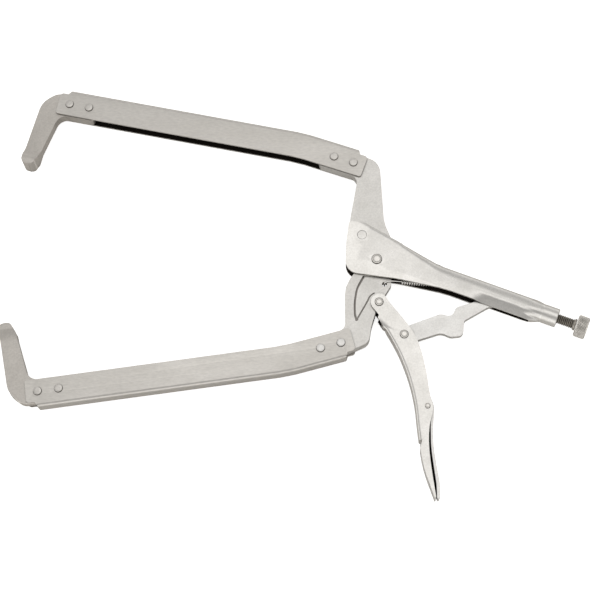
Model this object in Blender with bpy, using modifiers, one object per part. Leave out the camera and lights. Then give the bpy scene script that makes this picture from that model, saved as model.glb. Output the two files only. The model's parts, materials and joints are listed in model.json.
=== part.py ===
"""Locking C clamp with long riveted reach beams, modelled piece by piece.

Run with Blender 4.5:  blender --background --python part.py

Every size is in millimetres in the clamp's own plan: the origin is the jaw pivot, +X runs from
the throat to the adjusting knob, +Y from the moving jaw to the fixed jaw, and z = 0 is the middle
plane of the plates.  At the end the whole clamp is lifted onto its footprint, so that the world
origin is the middle of the underside of its bounding box.
"""

import math

import bmesh
import bpy
from mathutils import Matrix, Vector

MM = 0.001

# ---- plates, sheets and clearances -------------------------------------------------------------
PLATE = 9.3              # forged plates: arm, moving jaw, tips
SIDE_GAP = 0.25          # play between a plate and the channel wall beside it
BEAM_SHEET = 1.6         # wall of the reach beams
GRIP_SHEET = 1.9         # wall of the fixed handle
LEVER_SHEET = 1.8        # wall of the lower handle
FIT = 0.1                # radial clearance of a rivet shank in its hole
SEAT = 0.2               # gap under a rivet head
TOUCH = 0.3              # gap between faces that bear on each other
CHANNEL_GAP = PLATE + 2 * SIDE_GAP
PAD_THICK = 17.4         # clamping pads, and the knob, carry the clamp when it lies flat
KNOB_DIAMETER = 17.4

# ---- reach beams -------------------------------------------------------------------------------
BEAM_STRAIGHT = 192.0    # outer tip rivet to the bend
BEAM_BENT = 44.9         # bend to the outer pivot-end rivet
BEAM_KINK = 7.5          # degrees that the pivot end turns towards the throat
BEAM_BACK = 12.5         # rivet line to the outside of the web
BEAM_EDGE = 9.7          # rivet line to the free edge of the flanges
BEAM_END = 9.4           # outer rivet to the end of the flanges
BEAM_CORNER = 2.8        # outside bend radius between web and flange
WEB_END = 0.5            # how far the web runs past the outer rivet
FLANGE_TRIM = 8.5        # rivet line to the trimmed flange beyond the web
RIVET_PITCH = 16.3
UPPER_RIVET = (-17.5, 82.6)      # outer pivot-end rivet of the upper beam
UPPER_AXIS = -19.75              # direction of that beam end, in degrees
LOWER_RIVET = (-28.6, -68.2)
LOWER_AXIS = 14.8

# ---- tips --------------------------------------------------------------------------------------
TIP_REACH = 58.0         # rivet line to the clamping face
TIP_FACE_X = 20.5        # middle of the clamping face beyond the outer rivet
TIP_WIDTH = 11.0         # width of the finger at the face
FLARE_START = 14.0       # the finger thickens over this stretch before the face
FLARE_END = 6.5
TIP_TONGUE = 6.0         # tip beyond its inner rivet
TONGUE = 10.7            # jaw or arm beyond its inner rivet
TONGUE_BACK = 8.0        # rivet line to the back edge of a tongue
TONGUE_THROAT = 10.1     # rivet line to the throat edge of a tongue

# ---- pivots ------------------------------------------------------------------------------------
JAW_PIVOT = (0.0, 0.0)
HANDLE_PIVOT = (1.3, -35.4)
LINK_PIVOT = (20.2, -62.1)
RELEASE_PIVOT = (36.9, -119.6)
NOSE_PIN = (-11.3, 20.6)
SPRING_HOLE = (5.7, -19.7)
JAW_BOSS = 12.5          # radius of the moving jaw round its pivot
BOSS_CLEARANCE = 1.0     # arm to jaw boss

# ---- fixed handle and screw --------------------------------------------------------------------
GRIP_AXIS = -21.7        # direction of the screw, in degrees
SCREW_HEIGHT = 5.95      # screw axis above the jaw pivot, square to the grip
GRIP_LENGTH = 147.2      # jaw pivot to the end of the handle, along the grip
GRIP_TOP = 14.05         # top of the grip above the jaw pivot
GRIP_BOTTOM = -4.05      # bottom of the grip
GRIP_ROUND = 4.0         # radius along the back of the grip
COLLAR_DIAMETER = 14.8
COLLAR_LENGTH = 13.2
COLLAR_START = GRIP_LENGTH - COLLAR_LENGTH
TUBE_WALL = 1.8          # floor of the closed stretch before the collar
TUBE_START = 97.0
THREAD_SEAT = 17.0       # length of thread in the handle
SLOT_PLAY = 0.5          # play of the link in the slot under the tube
SLOT_END = 20.5          # end of the slot before the end face
WEB_START = 11.8         # where the back of the handle begins, beside the arm
BACK_SLOPE = math.tan(math.radians(-31.1))
TAB_THICK = 1.6          # tab inside the handle that holds the spring
TAB_X = 64.0
TAB_HOLE_Y = 4.15
TAB_HALF = 3.5
SCREW_DIAMETER = 7.9
SCREW_FIT = 0.15
SCREW_TIP = 24.0         # screw tip inside the end face
SCREW_SHOWN = 11.0       # threaded length outside the end face
SHOULDER_LENGTH = 3.8
SHOULDER_DIAMETER = 9.2
KNOB_LENGTH = 9.0
LINK_CLEARANCE = 3.9     # room at the open joint between link end and screw tip

# ---- lower handle, link and release lever ------------------------------------------------------
EAR_RADIUS = 6.6
LEVER_ROUND = 2.6
LINK_THICK = 4.8
LINK_HUB = 7.6
HUB_THICK = CHANNEL_GAP - 2 * TOUCH
RELEASE_WIDTH = CHANNEL_GAP - 2 * TOUCH
EAR_FOOT = -46.4         # the ears join the back of the handle below this height

# ---- rivets: shank radius, head radius, head height --------------------------------------------
BEAM_RIVET = (2.5, 3.4, 1.2)
JAW_RIVET = (3.6, 4.1, 1.5)
HANDLE_RIVET = (3.0, 3.4, 1.4)
RELEASE_RIVET = (1.6, 2.1, 0.9)
NOSE_PIN_RADIUS = 3.7

# ---- return spring -----------------------------------------------------------------------------
WIRE = 1.0
COIL_DIAMETER = 4.4
SPRING_LEAD = 6.2        # the modelled wire starts this far from the middle of its hole
COIL_START = (18.3, -17.2)
COIL_LENGTH = 34.0
COIL_TURNS = 12

ARC_STEP = 14.0          # degrees between points on a round outline

for old in list(bpy.data.objects):
    bpy.data.objects.remove(old, do_unlink=True)

PARTS = bpy.data.collections.new("locking_c_clamp")
CUTTERS = bpy.data.collections.new("cutters")
bpy.context.scene.collection.children.link(PARTS)
bpy.context.scene.collection.children.link(CUTTERS)


# ---- plane geometry ----------------------------------------------------------------------------
def polar(centre, radius, degrees):
    """A point at a distance and direction from another."""
    turn = math.radians(degrees)
    return (centre[0] + radius * math.cos(turn), centre[1] + radius * math.sin(turn))


def arc(centre, radius, start, end):
    """Sharp outline corners along an arc, ends included."""
    steps = max(2, round(abs(end - start) / ARC_STEP))
    return [(polar(centre, radius, start + (end - start) * i / steps), 0.0) for i in range(steps + 1)]


def smooth(points, steps=4):
    """Sharp outline corners along a smooth curve through a few points."""
    ends = [points[0], *points, points[-1]]
    result = []
    for a, b, c, d in zip(ends, ends[1:], ends[2:], ends[3:]):
        for i in range(steps):
            t = i / steps
            result.append((tuple(
                0.5 * (2 * q + (r - p) * t + (2 * p - 5 * q + 4 * r - s) * t * t
                       + (3 * q - p - 3 * r + s) * t ** 3)
                for p, q, r, s in zip(a, b, c, d)), 0.0))
    return result + [(points[-1], 0.0)]


def rounded(corners):
    """Outline points for corners given as ((x, y), fillet radius)."""
    result = []
    for i, (corner, radius) in enumerate(corners):
        here = Vector(corner)
        to_last = Vector(corners[i - 1][0]) - here
        to_next = Vector(corners[(i + 1) % len(corners)][0]) - here
        if radius <= 0 or to_last.length < 1e-6 or to_next.length < 1e-6:
            result.append(tuple(here))
            continue
        a, b = to_last.normalized(), to_next.normalized()
        half = a.angle(b) / 2
        turn = math.pi - 2 * half
        if turn < math.radians(1):
            result.append(tuple(here))
            continue
        back = min(radius / math.tan(half), 0.48 * to_last.length, 0.48 * to_next.length)
        radius = back * math.tan(half)
        centre = here + (a + b).normalized() * radius / math.sin(half)
        start = here + a * back - centre
        signed = turn if a.cross(b) < 0 else -turn
        steps = max(1, round(math.degrees(turn) / ARC_STEP))
        for k in range(steps + 1):
            result.append(tuple(centre + Matrix.Rotation(signed * k / steps, 2) @ start))
    return result


def offset(line, distance):
    """A line's points moved square to it, to the left of its direction."""
    result = []
    for i, point in enumerate(line):
        run = Vector(line[min(i + 1, len(line) - 1)]) - Vector(line[max(i - 1, 0)])
        result.append(tuple(Vector(point) + Vector((-run.y, run.x)).normalized() * distance))
    return result


class Place:
    """A plane frame: an origin, the direction of its x, and the side its y lies on."""

    def __init__(self, origin, degrees, side=1):
        self.origin, self.degrees, self.side = origin, degrees, side

    def at(self, x, y):
        along = polar(self.origin, x, self.degrees)
        return polar(along, y * self.side, self.degrees + 90)


GRIP = Place(JAW_PIVOT, GRIP_AXIS)
# Turns a vertical axis to lie along the grip.
ALONG_GRIP = (math.radians(90), 0, math.radians(GRIP_AXIS + 90))


class Beam:
    """The plan of one reach beam, with a frame at each end (x outwards, y to the throat)."""

    def __init__(self, rivet, axis, side):
        self.pivot_end = Place(rivet, axis, side)
        tip_axis = axis + 180 - side * BEAM_KINK
        bend = self.pivot_end.at(-BEAM_BENT, 0)
        self.tip_end = Place(polar(bend, BEAM_STRAIGHT, tip_axis), tip_axis, -side)

    def rivets(self):
        ends = (self.pivot_end, self.tip_end)
        return [end.at(x, 0) for end in ends for x in (0, -RIVET_PITCH)]

    def bend(self, y):
        """Where the two straight lines at y from the rivet line meet."""
        shift = y * math.tan(math.radians(BEAM_KINK / 2))
        return self.tip_end.at(-BEAM_STRAIGHT + shift, y)

    def outline(self):
        end = [(WEB_END, -BEAM_BACK, 0), (WEB_END + 2.5, -FLANGE_TRIM, 0.4),
               (BEAM_END, -FLANGE_TRIM, 2.5), (BEAM_END, BEAM_EDGE, 1.8)]
        tip = [(self.tip_end.at(x, y), r) for x, y, r in end]
        pivot = [(self.pivot_end.at(x, y), r) for x, y, r in reversed(end)]
        return rounded([*tip, (self.bend(BEAM_EDGE), 90), *pivot, (self.bend(-BEAM_BACK), 90)])

    def cavity(self):
        inside = BEAM_SHEET - BEAM_BACK
        return [self.tip_end.at(30, inside), self.bend(inside), self.pivot_end.at(30, inside),
                self.pivot_end.at(30, 40), self.tip_end.at(30, 40)]

    def back(self):
        """The outer line of the web."""
        return [self.tip_end.at(WEB_END, -BEAM_BACK), self.bend(-BEAM_BACK),
                self.pivot_end.at(WEB_END, -BEAM_BACK)]


UPPER = Beam(UPPER_RIVET, UPPER_AXIS, -1)
LOWER = Beam(LOWER_RIVET, LOWER_AXIS, 1)


def direction(point):
    """Direction of a point from the jaw pivot, in degrees."""
    return math.degrees(math.atan2(point[1], point[0])) % 360


# The lower tip meets the upper one after this turn of the moving jaw about its pivot.
CLOSING_ANGLE = (direction(LOWER.tip_end.at(TIP_FACE_X, TIP_REACH))
                 - direction(UPPER.tip_end.at(TIP_FACE_X, TIP_REACH)))
# Both faces lean by the same angle, so that they are parallel when they meet.
FACE_LEAN = (CLOSING_ANGLE - (LOWER.tip_end.degrees - UPPER.tip_end.degrees)) / 2


# ---- solids ------------------------------------------------------------------------------------
def material(name, colour, roughness):
    made = bpy.data.materials.new(name)
    made.use_nodes = True
    shader = made.node_tree.nodes["Principled BSDF"]
    shader.inputs["Base Color"].default_value = (*colour, 1.0)
    shader.inputs["Metallic"].default_value = 1.0
    shader.inputs["Roughness"].default_value = roughness
    return made


def link(name, mesh, group=PARTS):
    made = bpy.data.objects.new(name, mesh)
    group.objects.link(made)
    return made


def as_mesh(curve_object, group):
    """Turn a curve object into a closed mesh object of the same name and place."""
    bpy.context.view_layer.update()
    name, matrix = curve_object.name, curve_object.matrix_world.copy()
    seen = curve_object.evaluated_get(bpy.context.evaluated_depsgraph_get())
    mesh = bpy.data.meshes.new_from_object(seen)
    bpy.data.objects.remove(curve_object, do_unlink=True)
    bm = bmesh.new()
    bm.from_mesh(mesh)
    bmesh.ops.remove_doubles(bm, verts=bm.verts, dist=1e-6)
    bmesh.ops.transform(bm, matrix=matrix, verts=bm.verts)
    bmesh.ops.recalc_face_normals(bm, faces=bm.faces)
    bm.to_mesh(mesh)
    bm.free()
    made = link(name, mesh, group)
    made.name = name
    return made


def plate(name, loops, thickness, middle=0.0, group=PARTS):
    """A flat plate from its outline and the outlines of its holes."""
    curve = bpy.data.curves.new(name, "CURVE")
    curve.dimensions = "2D"
    curve.fill_mode = "BOTH"
    curve.extrude = thickness / 2 * MM
    for loop in loops:
        spline = curve.splines.new("POLY")
        spline.points.add(len(loop) - 1)
        for point, (x, y) in zip(spline.points, loop):
            point.co = (x * MM, y * MM, 0, 1)
        spline.use_cyclic_u = True
    made = link(name, curve, group)
    made.location.z = middle * MM
    return as_mesh(made, group)


def hole(centre, radius):
    """A hole's outline, a little outside the true circle so that a round shank clears it."""
    count = 24
    outer = radius / math.cos(math.pi / count)
    return [polar(centre, outer, 360 * i / count) for i in range(count)]


def near(line, slack=0.6):
    """A test that is true within slack of a chain of straight lines."""
    def test(point):
        here = Vector(point)
        for a, b in zip(line, line[1:]):
            start, run = Vector(a), Vector(b) - Vector(a)
            share = min(1.0, max(0.0, (here - start).dot(run) / run.length_squared))
            if (start + run * share - here).length < slack:
                return True
        return False
    return test


def round_edges(part, radius, chosen, segments=3):
    """Round the edges of both faces of a plate whose two ends pass a test on (x, y)."""
    bm = bmesh.new()
    bm.from_mesh(part.data)
    bmesh.ops.dissolve_limit(bm, angle_limit=0.001, verts=bm.verts, edges=bm.edges)
    edges = [e for e in bm.edges
             if abs(e.verts[0].co.z - e.verts[1].co.z) < 1e-6
             and all(chosen((v.co.x / MM, v.co.y / MM)) for v in e.verts)]
    bmesh.ops.bevel(bm, geom=edges, offset=radius * MM, segments=segments, profile=0.5,
                    affect="EDGES", clamp_overlap=False)
    bm.to_mesh(part.data)
    bm.free()


def combine(part, other, operation):
    """A live Boolean between a part and a hidden helper solid."""
    if other.name in PARTS.objects:
        PARTS.objects.unlink(other)
        CUTTERS.objects.link(other)
    other.hide_render = True
    other.display_type = "WIRE"
    modifier = part.modifiers.new(operation.lower() + "_" + other.name, "BOOLEAN")
    modifier.object = other
    modifier.operation = operation
    modifier.solver = "EXACT"


def turned(name, profile, middle=(0.0, 0.0, 0.0), turn=None, group=PARTS, steps=24):
    """A turned solid from (radius, height) points, top to bottom on its outer side."""
    mesh = bpy.data.meshes.new(name)
    mesh.from_pydata([(r * MM, 0, z * MM) for r, z in profile],
                     [(i, i + 1) for i in range(len(profile) - 1)], [])
    made = link(name, mesh, group)
    screw = made.modifiers.new("turn", "SCREW")
    screw.axis = "Z"
    screw.steps = screw.render_steps = steps
    screw.use_merge_vertices = True
    screw.merge_threshold = 0.00001
    screw.use_smooth_shade = True
    made.location = Vector(middle) * MM
    if turn is not None:
        made.rotation_euler = turn
    return made


def box(name, place, x0, x1, y0, y1, depth):
    """A block cutter in a plane frame, centred on the middle plane."""
    corners = [place.at(x0, y0), place.at(x1, y0), place.at(x1, y1), place.at(x0, y1)]
    return plate(name, [corners], depth, group=CUTTERS)


def rod(name, centre, radius, depth):
    """A round cutter square to the plates."""
    return plate(name, [hole(centre, radius)], depth, group=CUTTERS)


def rivet(name, centre, sizes, half_width):
    """A rivet with two domed heads over walls at +-half_width."""
    shank, head, height = sizes
    seat = half_width + SEAT
    dome = [(head * math.sin(math.radians(a)), seat + 0.3 + (height - 0.3) * math.cos(math.radians(a)))
            for a in (0, 35, 65, 90)]
    top = [*dome, (head, seat), (shank, seat)]
    return turned(name, top + [(r, -z) for r, z in reversed(top)], (*centre, 0), steps=18)


# ---- the pieces --------------------------------------------------------------------------------
BEAM_WIDTH = CHANNEL_GAP + 2 * BEAM_SHEET
GRIP_WIDTH = CHANNEL_GAP + 2 * GRIP_SHEET
LEVER_WIDTH = CHANNEL_GAP + 2 * LEVER_SHEET


def make_beam(name, beam):
    """A channel with its web on the outside of the throat."""
    part = plate(name, [beam.outline()], BEAM_WIDTH)
    round_edges(part, BEAM_CORNER, near(beam.back(), 1.0))
    combine(part, plate(name + "_cavity", [beam.cavity()], CHANNEL_GAP, group=CUTTERS), "DIFFERENCE")
    for i, centre in enumerate(beam.rivets()):
        combine(part, rod(f"{name}_hole_{i + 1}", centre, BEAM_RIVET[0] + FIT, 30), "DIFFERENCE")
    return part


def make_tip(name, beam):
    """A finger that flares into a thick pad at its clamping face."""
    end = beam.tip_end
    lean = math.tan(math.radians(FACE_LEAN))
    inner, outer = TIP_FACE_X - TIP_WIDTH / 2, TIP_FACE_X + TIP_WIDTH / 2

    def face(x):
        return TIP_REACH - (x - TIP_FACE_X) * lean

    corners = [(-RIVET_PITCH - TIP_TONGUE, -TONGUE_BACK, 3), (12.5, -TONGUE_BACK, 10),
               (23.2, 2.0, 16), (outer, TIP_REACH - 10, 60), (outer, face(outer), 2.2),
               (inner, face(inner), 2.2), (6.3, TONGUE_THROAT, 9),
               (-RIVET_PITCH - TIP_TONGUE, TONGUE_THROAT, 3)]
    outline = rounded([(end.at(x, y), r) for x, y, r in corners])
    holes = [hole(end.at(x, 0), BEAM_RIVET[0] + FIT) for x in (0, -RIVET_PITCH)]
    part = plate(name, [outline, *holes], PAD_THICK)
    # The side view: a slab that thickens towards the face.
    slab, pad = PLATE / 2, PAD_THICK / 2 + 1
    start, stop = TIP_REACH - FLARE_START, TIP_REACH - FLARE_END
    rise = (PAD_THICK - PLATE) / 2 / (stop - start)
    top = stop + (pad - PAD_THICK / 2) / rise
    side = [(-20, -slab), (start, -slab), (top, -pad), (TIP_REACH + 9, -pad),
            (TIP_REACH + 9, pad), (top, pad), (start, slab), (-20, slab)]
    envelope = plate(name + "_side_view", [side], 120, group=CUTTERS)
    across = Vector((*end.at(1, 0), 0)) - Vector((*end.origin, 0))
    throat = Vector((*end.at(0, 1), 0)) - Vector((*end.origin, 0))
    matrix = Matrix((throat, across.cross(throat), across)).transposed().to_4x4()
    matrix.translation = Vector((*end.origin, 0)) * MM
    envelope.data.transform(matrix)
    combine(part, envelope, "INTERSECT")
    return part


def make_arm():
    """The fixed jaw arm: a tongue in the upper beam, and a leg down into the fixed handle."""
    end = UPPER.pivot_end
    clear = JAW_BOSS + BOSS_CLEARANCE
    corners = [(end.at(-RIVET_PITCH - TONGUE, TONGUE_THROAT), 4), ((-14.0, 70.6), 7),
               ((-20.9, 33.0), 60), ((-22.4, 5.5), 1.5), *arc(JAW_PIVOT, clear, 160, 50),
               ((11.4, 12.0), 0.6), ((11.4, 18.3), 1.5), ((6.2, 31.5), 20), ((3.5, 83.7), 13),
               (end.at(-RIVET_PITCH - TONGUE, -TONGUE_BACK), 4)]
    holes = [hole(end.at(x, 0), BEAM_RIVET[0] + FIT) for x in (0, -RIVET_PITCH)]
    return plate("fixed_jaw_arm", [rounded(corners), *holes, hole(NOSE_PIN, NOSE_PIN_RADIUS + FIT)], PLATE)


def make_jaw():
    """The moving jaw: boss on the jaw pivot, ear for the handle pivot, tongue in the lower beam."""
    end = LOWER.pivot_end
    ear = EAR_RADIUS - 0.8
    corners = [*arc(JAW_PIVOT, JAW_BOSS, -5, 192), ((-25.3, -21.5), 22),
               ((-25.3, -56.6), 6), (end.at(-RIVET_PITCH - TONGUE, TONGUE_THROAT), 4),
               (end.at(-RIVET_PITCH - TONGUE, -TONGUE_BACK), 4), (end.at(2, -TONGUE_BACK), 6),
               ((-7.2, -67.8), 8), ((-5.2, -55.0), 20), ((-1.6, -43.4), 6),
               *arc(HANDLE_PIVOT, ear, -120, 40), ((6.1, -28.3), 3), ((10.6, -21.0), 3.4)]
    holes = [hole(end.at(x, 0), BEAM_RIVET[0] + FIT) for x in (0, -RIVET_PITCH)]
    holes += [hole(JAW_PIVOT, JAW_RIVET[0] + FIT), hole(HANDLE_PIVOT, HANDLE_RIVET[0] + FIT),
              hole(SPRING_HOLE, 1.9)]
    part = plate("moving_jaw", [rounded(corners), *holes], PLATE)
    pocket = rounded([((-11.0, -12.9), 1), ((-16.6, -23.0), 20), ((-18.5, -35.0), 20),
                      ((-18.5, -45.5), 8), ((-16.6, -51.0), 1.8), ((-8.4, -36.5), 8),
                      *arc(HANDLE_PIVOT, EAR_RADIUS + 1.6, 165, 30), ((20, -31.0), 0), ((20, -12.9), 0)])
    depth = 1.5
    for side in (1, -1):
        cutter = plate(f"jaw_pocket_{'front' if side > 0 else 'back'}", [pocket], 6,
                       side * (PLATE / 2 - depth + 3), CUTTERS)
        combine(part, cutter, "DIFFERENCE")
    return part


def make_fixed_handle():
    """A folded sheet: open channel at the nose, closed tube and round collar at the screw end."""
    bend, neck = (49.5, -4.5), GRIP.at(GRIP_LENGTH - 18, GRIP_TOP)
    outline = rounded([((-21.4, 32.8), 2.5), ((-9.5, 31.0), 12), (bend, 40), (neck, 0),
                       (GRIP.at(COLLAR_START + 2, SCREW_HEIGHT + 6.6), 2),
                       (GRIP.at(COLLAR_START + 2, SCREW_HEIGHT - 6.6), 2),
                       (GRIP.at(GRIP_LENGTH - 20, GRIP_BOTTOM), 12), (GRIP.at(58, GRIP_BOTTOM), 60),
                       ((16.0, -16.4), 60), ((-24.8, -10.0), 11), ((-24.2, 12.0), 80)])
    part = plate("fixed_handle", [outline], GRIP_WIDTH)
    back_start = (WEB_START + 1.5, bend[1] + (WEB_START + 1.5 - bend[0]) * BACK_SLOPE)
    round_edges(part, GRIP_ROUND, near([back_start, bend, neck], 1.2))

    end_wall, floor = GRIP_LENGTH - THREAD_SEAT, GRIP_BOTTOM + TUBE_WALL
    web = (bend[0] - 0.7, bend[1] - GRIP_SHEET * 1.08)
    cavity = [(WEB_START, 60), (WEB_START, web[1] + (WEB_START - web[0]) * BACK_SLOPE), web,
              GRIP.at(end_wall, GRIP_TOP - GRIP_SHEET), GRIP.at(end_wall, floor),
              GRIP.at(TUBE_START, floor), GRIP.at(TUBE_START, -60), (-60, -90), (-60, 60)]
    combine(part, plate("grip_cavity", [cavity], CHANNEL_GAP, group=CUTTERS), "DIFFERENCE")
    slot = box("grip_slot", GRIP, TUBE_START - 4, GRIP_LENGTH - SLOT_END, GRIP_BOTTOM - 5,
               floor + 1, LINK_THICK + 2 * SLOT_PLAY)
    combine(part, slot, "DIFFERENCE")

    middle, radius = (*GRIP.at(0, SCREW_HEIGHT), 0), COLLAR_DIAMETER / 2
    collar = turned("grip_collar", [(0, GRIP_LENGTH), (radius - 0.6, GRIP_LENGTH),
                                    (radius, GRIP_LENGTH - 0.6), (radius, COLLAR_START),
                                    (0, COLLAR_START)], middle, ALONG_GRIP, CUTTERS)
    combine(part, collar, "UNION")
    bore_radius = SCREW_DIAMETER / 2 + SCREW_FIT
    bore = turned("grip_bore", [(0, GRIP_LENGTH + 5), (bore_radius, GRIP_LENGTH + 5),
                                (bore_radius, end_wall - 4), (0, end_wall - 4)],
                  middle, ALONG_GRIP, CUTTERS)
    combine(part, bore, "DIFFERENCE")
    left, right, top = TAB_X - TAB_HALF, TAB_X + TAB_HALF, GRIP_TOP - GRIP_SHEET / 2
    low = TAB_HOLE_Y - 2.3
    tab = plate("spring_tab", [rounded([(GRIP.at(left, top), 0), (GRIP.at(left, low), 2.2),
                                        (GRIP.at(right, low), 2.2), (GRIP.at(right, top), 0)]),
                               hole(GRIP.at(TAB_X, TAB_HOLE_Y), 1.2)], TAB_THICK, group=CUTTERS)
    combine(part, tab, "UNION")
    combine(part, rod("jaw_pivot_hole", JAW_PIVOT, JAW_RIVET[0] + FIT, 30), "DIFFERENCE")
    combine(part, rod("nose_pin_hole", NOSE_PIN, NOSE_PIN_RADIUS + FIT, 30), "DIFFERENCE")
    return part


def make_lower_handle():
    """A folded channel with its back to the outside and two ears on the handle pivot."""
    back = [(0.1, -48.1), (8.4, -62.4), (16.4, -79.0), (23.0, -98.7), (26.9, -118.0),
            (28.9, -140.0), (32.6, -166.0), (40.2, -190.4)]
    front = [(41.5, -189.9), (38.6, -168.0), (37.2, -150.0), (38.0, -135.0), (41.0, -121.5),
             (38.6, -108.5), (36.1, -90.0), (31.4, -70.0), (23.8, -55.0), (8.5, -34.6)]
    outline = rounded([*arc(HANDLE_PIVOT, EAR_RADIUS, 30, 215), ((1.0, -46.0), 0.8),
                       *smooth(back), ((41.1, -191.4), 0.6), *smooth(front)])
    part = plate("lower_handle", [outline], LEVER_WIDTH)
    back_line = [corner for corner, _ in smooth(back)]
    round_edges(part, LEVER_ROUND, near(back_line[3:-7], 0.1))
    cavity = [(-20, EAR_FOOT), *offset(back_line, LEVER_SHEET)[2:], (60, -200), (90, -200),
              (90, -20), (-20, -20)]
    combine(part, plate("lower_cavity", [cavity], CHANNEL_GAP, group=CUTTERS), "DIFFERENCE")
    for name, centre, sizes in (("ear_hole", HANDLE_PIVOT, HANDLE_RIVET),
                                ("link_hole", LINK_PIVOT, HANDLE_RIVET),
                                ("release_hole", RELEASE_PIVOT, RELEASE_RIVET)):
        combine(part, rod(name, centre, sizes[0] + FIT, 30), "DIFFERENCE")
    return part


def make_link():
    """The toggle link: hub on the lower handle, knee for the release lever, end at the screw."""
    tip = GRIP.at(GRIP_LENGTH - SCREW_TIP - LINK_CLEARANCE - 3.2, SCREW_HEIGHT)
    outline = rounded([*arc(LINK_PIVOT, LINK_HUB - 1.0, 110, 285), ((48.8, -60.0), 8), ((55.6, -63.4), 5),
                       ((65.6, -62.8), 4.5), ((66.9, -50.4), 3), ((87.0, -38.8), 10),
                       *arc(tip, 3.2, GRIP_AXIS - 75, GRIP_AXIS + 75), ((86.0, -31.6), 12),
                       ((60.9, -39.6), 2.0), ((57.6, -47.0), 5), ((48.6, -44.6), 5)])
    part = plate("toggle_link", [outline], LINK_THICK)
    combine(part, plate("link_hub", [hole(LINK_PIVOT, LINK_HUB)], HUB_THICK, group=CUTTERS), "UNION")
    combine(part, rod("link_bore", LINK_PIVOT, HANDLE_RIVET[0] + FIT, 30), "DIFFERENCE")
    return part


def make_release_lever():
    """A bent strap beside the lower handle, with a nose that reaches up to the link's knee."""
    outside = [(40.9, -116.0), (41.9, -122.5), (40.6, -137.0), (40.8, -152.0), (42.8, -167.0),
               (44.8, -181.0), (44.5, -189.2)]
    inside = [(42.1, -190.2), (42.1, -181.0), (40.5, -167.0), (38.9, -152.0), (38.8, -137.0),
              (38.6, -128.0), (34.6, -123.2)]
    outline = rounded([((32.6, -105.5), 1.5), ((36.9, -105.2), 1.5), *smooth(outside),
                       ((43.3, -192.0), 1.0), *smooth(inside), ((33.2, -119.0), 1.0)])
    part = plate("release_lever", [outline], RELEASE_WIDTH)
    combine(part, rod("release_bore", RELEASE_PIVOT, RELEASE_RIVET[0] + FIT, 30), "DIFFERENCE")
    return part


def make_screw():
    """The adjusting screw's rod, from its tip in the handle to the knob."""
    radius, tip = SCREW_DIAMETER / 2, GRIP_LENGTH - SCREW_TIP
    shown = GRIP_LENGTH + SCREW_SHOWN
    shoulder = SHOULDER_DIAMETER / 2
    profile = [(0, shown + SHOULDER_LENGTH), (shoulder - 0.5, shown + SHOULDER_LENGTH),
               (shoulder, shown + SHOULDER_LENGTH - 0.5), (shoulder, shown), (radius, shown - 0.4),
               (radius, tip + 1.2), (radius - 1.2, tip), (0, tip)]
    return turned("adjusting_screw", profile, (*GRIP.at(0, SCREW_HEIGHT), 0), ALONG_GRIP)


def make_knob():
    """The knurled knob on the end of the screw."""
    start = GRIP_LENGTH + SCREW_SHOWN + SHOULDER_LENGTH + TOUCH
    end, radius, chamfer = start + KNOB_LENGTH, KNOB_DIAMETER / 2, 1.0
    profile = [(0, end), (radius - chamfer, end), (radius, end - chamfer), (radius, start + chamfer),
               (radius - chamfer, start), (0, start)]
    return turned("adjusting_knob", profile, (*GRIP.at(0, SCREW_HEIGHT), 0), ALONG_GRIP)


def make_nose_pin():
    """A plain pin, flush with the walls of the fixed handle."""
    radius, half = NOSE_PIN_RADIUS, GRIP_WIDTH / 2
    profile = [(0, half), (radius, half), (radius, -half), (0, -half)]
    return turned("nose_pin", profile, (*NOSE_PIN, 0))


def make_spring():
    """The tension spring between the moving jaw and the tab inside the fixed handle.

    Its hooks are left off: it runs from just outside the jaw's lobe to just short of the tab.
    """
    start = Vector((SPRING_HOLE[0] + SPRING_LEAD, COIL_START[1]))
    end = Vector(GRIP.at(TAB_X - TAB_HALF - TOUCH, TAB_HOLE_Y - 1.0))
    coil = Vector(COIL_START)
    axis = (end - coil).normalized()
    side = Vector((-axis.y, axis.x))
    radius, per_turn = (COIL_DIAMETER - WIRE) / 2, 8
    route = [(*start, 0), (*(coil - axis * 1.5), 0)]
    for i in range(COIL_TURNS * per_turn + 1):
        angle = 2 * math.pi * i / per_turn
        along = coil + axis * (COIL_LENGTH * i / (COIL_TURNS * per_turn))
        route.append((*(along + side * radius * math.cos(angle)), radius * math.sin(angle)))
    route += [(*(coil + axis * (COIL_LENGTH + 1.5)), 0), (*end, 0)]
    curve = bpy.data.curves.new("return_spring", "CURVE")
    curve.dimensions = "3D"
    curve.bevel_depth = WIRE / 2 * MM
    curve.bevel_resolution = 1
    curve.use_fill_caps = True
    spline = curve.splines.new("POLY")
    spline.points.add(len(route) - 1)
    for point, place in zip(spline.points, route):
        point.co = (*(Vector(place) * MM), 1)
    return as_mesh(link("return_spring", curve), PARTS)


def axis_empty(name, place, parent=None):
    """An empty on a joint's axis."""
    empty = bpy.data.objects.new(name, None)
    PARTS.objects.link(empty)
    empty.empty_display_size = 0.01
    empty.location = Vector((*place, 0)) * MM
    bpy.context.view_layer.update()
    if parent:
        adopt(parent, empty)
    return empty


def adopt(parent, child):
    """Parent a piece without moving it."""
    bpy.context.view_layer.update()
    child.parent = parent
    child.matrix_parent_inverse = parent.matrix_world.inverted()


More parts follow.
